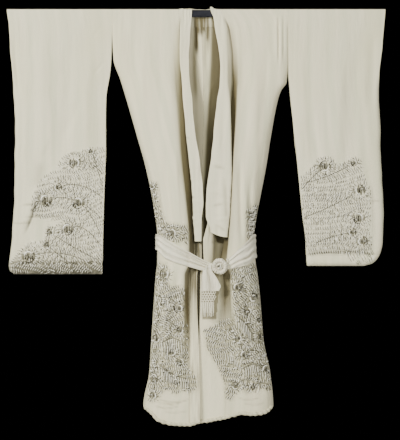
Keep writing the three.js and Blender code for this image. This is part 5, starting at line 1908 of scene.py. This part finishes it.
def sash_fringe():
    """Strands of two twisted plies that hang from the net's last row."""
    width = NET["foot_right"] - NET["left"]
    points, faces, uvs = [], [], []
    around = 6
    steps = 26
    for i in range(FRINGE["strands"] * 2):
        strand, ply = divmod(i, 2)
        bunch = strand // 4
        middle_x = NET["left"] + 0.003 + (width - 0.006) * bunch / 6
        x = middle_x + 0.0012 * ((strand % 4) - 1.5)
        sway = 0.002 * math.sin(bunch * 2.1) + 0.0004 * math.sin(strand * 1.3)
        length = FRINGE["length"] * (1 - 0.3 * abs(math.sin(strand * 1.7 + bunch)))
        first = len(points)
        for s in range(steps + 1):
            share = s / steps
            turn = share * length / 0.006 * 2 * math.pi + ply * math.pi + strand
            out = sway * share**2
            middle = np.array([x + out, TAIL_FRONT + 0.001 + out, FRINGE["top"] + 0.002 - length * share])
            middle = middle + 0.00052 * np.append(heading(turn), 0)
            radius = 0.00058 * (1 if s < steps else 0.5)
            for k in range(around):
                angle = 2 * math.pi * k / around
                points.append(middle + radius * np.append(heading(angle), 0))
                uvs.append((angle * radius, share * length))
        for s in range(steps):
            for k in range(around):
                n = (k + 1) % around
                a, b = first + s * around, first + (s + 1) * around
                faces.append((a + k, b + k, b + n, a + n))
        faces.append(tuple(first + k for k in range(around)))
        faces.append(tuple(first + steps * around + k for k in reversed(range(around))))
    return joined("sash_fringe_strands", points, faces, uvs, SASH_SILK, "sash_silk", nodes=["sash_fringe"])


# ---------- putting the robe together ----------
set_finish(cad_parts["display_bar"], VELVET)


def embroidery(seed, outward, plumes, swell):
    """Stitches with their feathers, each eye a little larger than it was drawn."""
    work = Stitches(seed, outward)
    for root, bend, eye, size, barb in plumes:
        work.plume(root, bend, eye, size * swell, barb)
    return work


def sow(work, ovals):
    for x, z, across, down in ovals:
        work.seeds((x, z), (across, down), 0.0085)


for hand in ("right", "left"):
    for outward in (-1, 1):
        seed = (11 if hand == "right" else 23) + outward
        spacing = 0.0042 if outward < 0 else 0.0052

        panel, rows = body_panel(hand, outward)
        plumes = SKIRT_PLUMES[hand, outward]
        work = embroidery(seed, outward, plumes, 1.12)
        for row in HANGING[hand]:
            work.hanging(row[:2], row[2:4], row[4:6], row[6])
        for patch in skirt_patches(hand, outward):
            work.fill(patch, plumes, ways_of(SKIRT_WAYS, hand), spacing * 0.86, 0.0125, 0.62, 1.4)
            work.beads(patch, 110 if outward < 0 else 50)
        sow(work, SKIRT_SEEDS[hand, outward])
        stitches = work.build(f"{hand}_{SIDE[outward]}_skirt_embroidery", panel)
        declare(panel, rows, "hung", ["display_bar"], [stitches, hem_roll(hand, outward)])
        if outward < 0:
            front_work = work

        sheet, rows = sleeve(hand, outward)
        plumes = SLEEVE_PLUMES[hand, outward]
        work = embroidery(seed + 100, outward, plumes, 1.15)
        patch = SLEEVE_PATCHES[hand, outward]
        work.fill(patch, plumes, ways_of(SLEEVE_WAYS, hand), spacing * 0.95, 0.0115, 0.56)
        if hand == "right":
            work.fill(ROLL_PATCH, plumes, ROLL_WAYS, 0.0038, 0.0105, 1.1, 1.1)
        else:
            work.fill(SLANTED_PATCH, plumes, [(0.55, -0.83, 128)], 0.0046, 0.02, 0.5)
        sow(work, SLEEVE_SEEDS[hand, outward])
        stitches = work.build(f"{hand}_{SIDE[outward]}_sleeve_embroidery", sheet)
        declare(sheet, rows, "hung", ["display_bar"], [stitches])

    declare(*collar(hand), "hung", ["display_bar"])
    piece, rows = overlap_strip(hand)
    sewn = front_work.build(f"{hand}_overlap_embroidery", piece, -1.2 if hand == "right" else -0.9)
    declare(piece, rows, "hung", [f"{hand}_front_panel_cloth"], [sewn])
    declare(*sash_front(hand), "stretched", [f"{hand}_front_panel_cloth"])

backs = ["right_back_panel_cloth", "left_back_panel_cloth"]
declare(*neck_band(), "hung", backs)
declare(*sash_back(), "stretched", backs)
knot = sash_knot()
work = Stitches(301, -1)
work.eye(np.array(KNOT_EYE), 0.0125)
work.build("sash_knot_embroidery", knot)
declare(*sash_tail(), "hung", ["sash_knot_cloth"], [sash_net(), sash_fringe()])

# ---------- floor, light and camera ----------
FLOOR_LEVEL = -1.75
select_nothing()
bpy.ops.mesh.primitive_circle_add(vertices=96, radius=1.15, fill_type="NGON", location=(0, 0, 0))
floor = bpy.context.object
floor.name = "floor"
floor.data.transform(Matrix.Translation((0, 0, FLOOR_LEVEL)))
ground = Finish("pale_floor", Roughness=0.85)
speckle = ground.grain(ground.place("Object"), 9.0, 9.0, 9.0, 3.0)
ground.feed("Base Color", ground.blend(speckle, colour(214, 212, 207), colour(226, 224, 219)))
floor.data.materials.append(ground.material)


def soft_light(name, place, target, size, power, tint=(1, 1, 1)):
    data = bpy.data.lights.new(name, "AREA")
    data.shape = "RECTANGLE"
    data.size, data.size_y = size
    data.energy = power
    data.color = tint
    light = bpy.data.objects.new(name, data)
    light.location = place
    light.rotation_euler = (Vector(target) - Vector(place)).to_track_quat("-Z", "Y").to_euler()
    light.visible_camera = False
    bpy.context.scene.collection.objects.link(light)


soft_light("key", (-3.3, -3.6, 1.5), (0, 0, -0.6), (1.3, 1.1), 372, (1, 0.985, 0.915))
soft_light("fill", (2.8, -4.6, 0.3), (0, 0, -0.8), (2.6, 2.2), 92, (1, 0.985, 0.93))
soft_light("front", (0.5, -5.4, -0.1), (0, 0, -0.6), (1.6, 1.6), 112, (1, 0.985, 0.92))
soft_light("rear", (0.8, 4.2, 1.2), (0, 0, -0.6), (3.0, 2.0), 120)

world = bpy.data.worlds.new("studio")
bpy.context.scene.world = world
world.use_nodes = True
tree = world.node_tree
backdrop = tree.nodes["Background"]
backdrop.inputs["Color"].default_value = (0.95, 0.97, 1.0, 1)
backdrop.inputs["Strength"].default_value = 0.14
unseen = tree.nodes.new("ShaderNodeBackground")
unseen.inputs["Color"].default_value = (0, 0, 0, 1)
unseen.inputs["Strength"].default_value = 0.0
ray = tree.nodes.new("ShaderNodeLightPath")
choice = tree.nodes.new("ShaderNodeMixShader")
tree.links.new(ray.outputs["Is Camera Ray"], choice.inputs[0])
tree.links.new(backdrop.outputs[0], choice.inputs[1])
tree.links.new(unseen.outputs[0], choice.inputs[2])
tree.links.new(choice.outputs[0], tree.nodes["World Output"].inputs["Surface"])

CAMERA_DISTANCE = 6.0
VIEW_HEIGHT = 1.496
SENSOR = 36
view = bpy.data.cameras.new("camera")
view.sensor_width = SENSOR
view.lens = SENSOR * CAMERA_DISTANCE / VIEW_HEIGHT
camera = bpy.data.objects.new("camera", view)
camera.location = (0.0068, -CAMERA_DISTANCE, -0.70205)
camera.rotation_euler = (math.pi / 2, 0, 0)
bpy.context.scene.collection.objects.link(camera)
bpy.context.scene.camera = camera
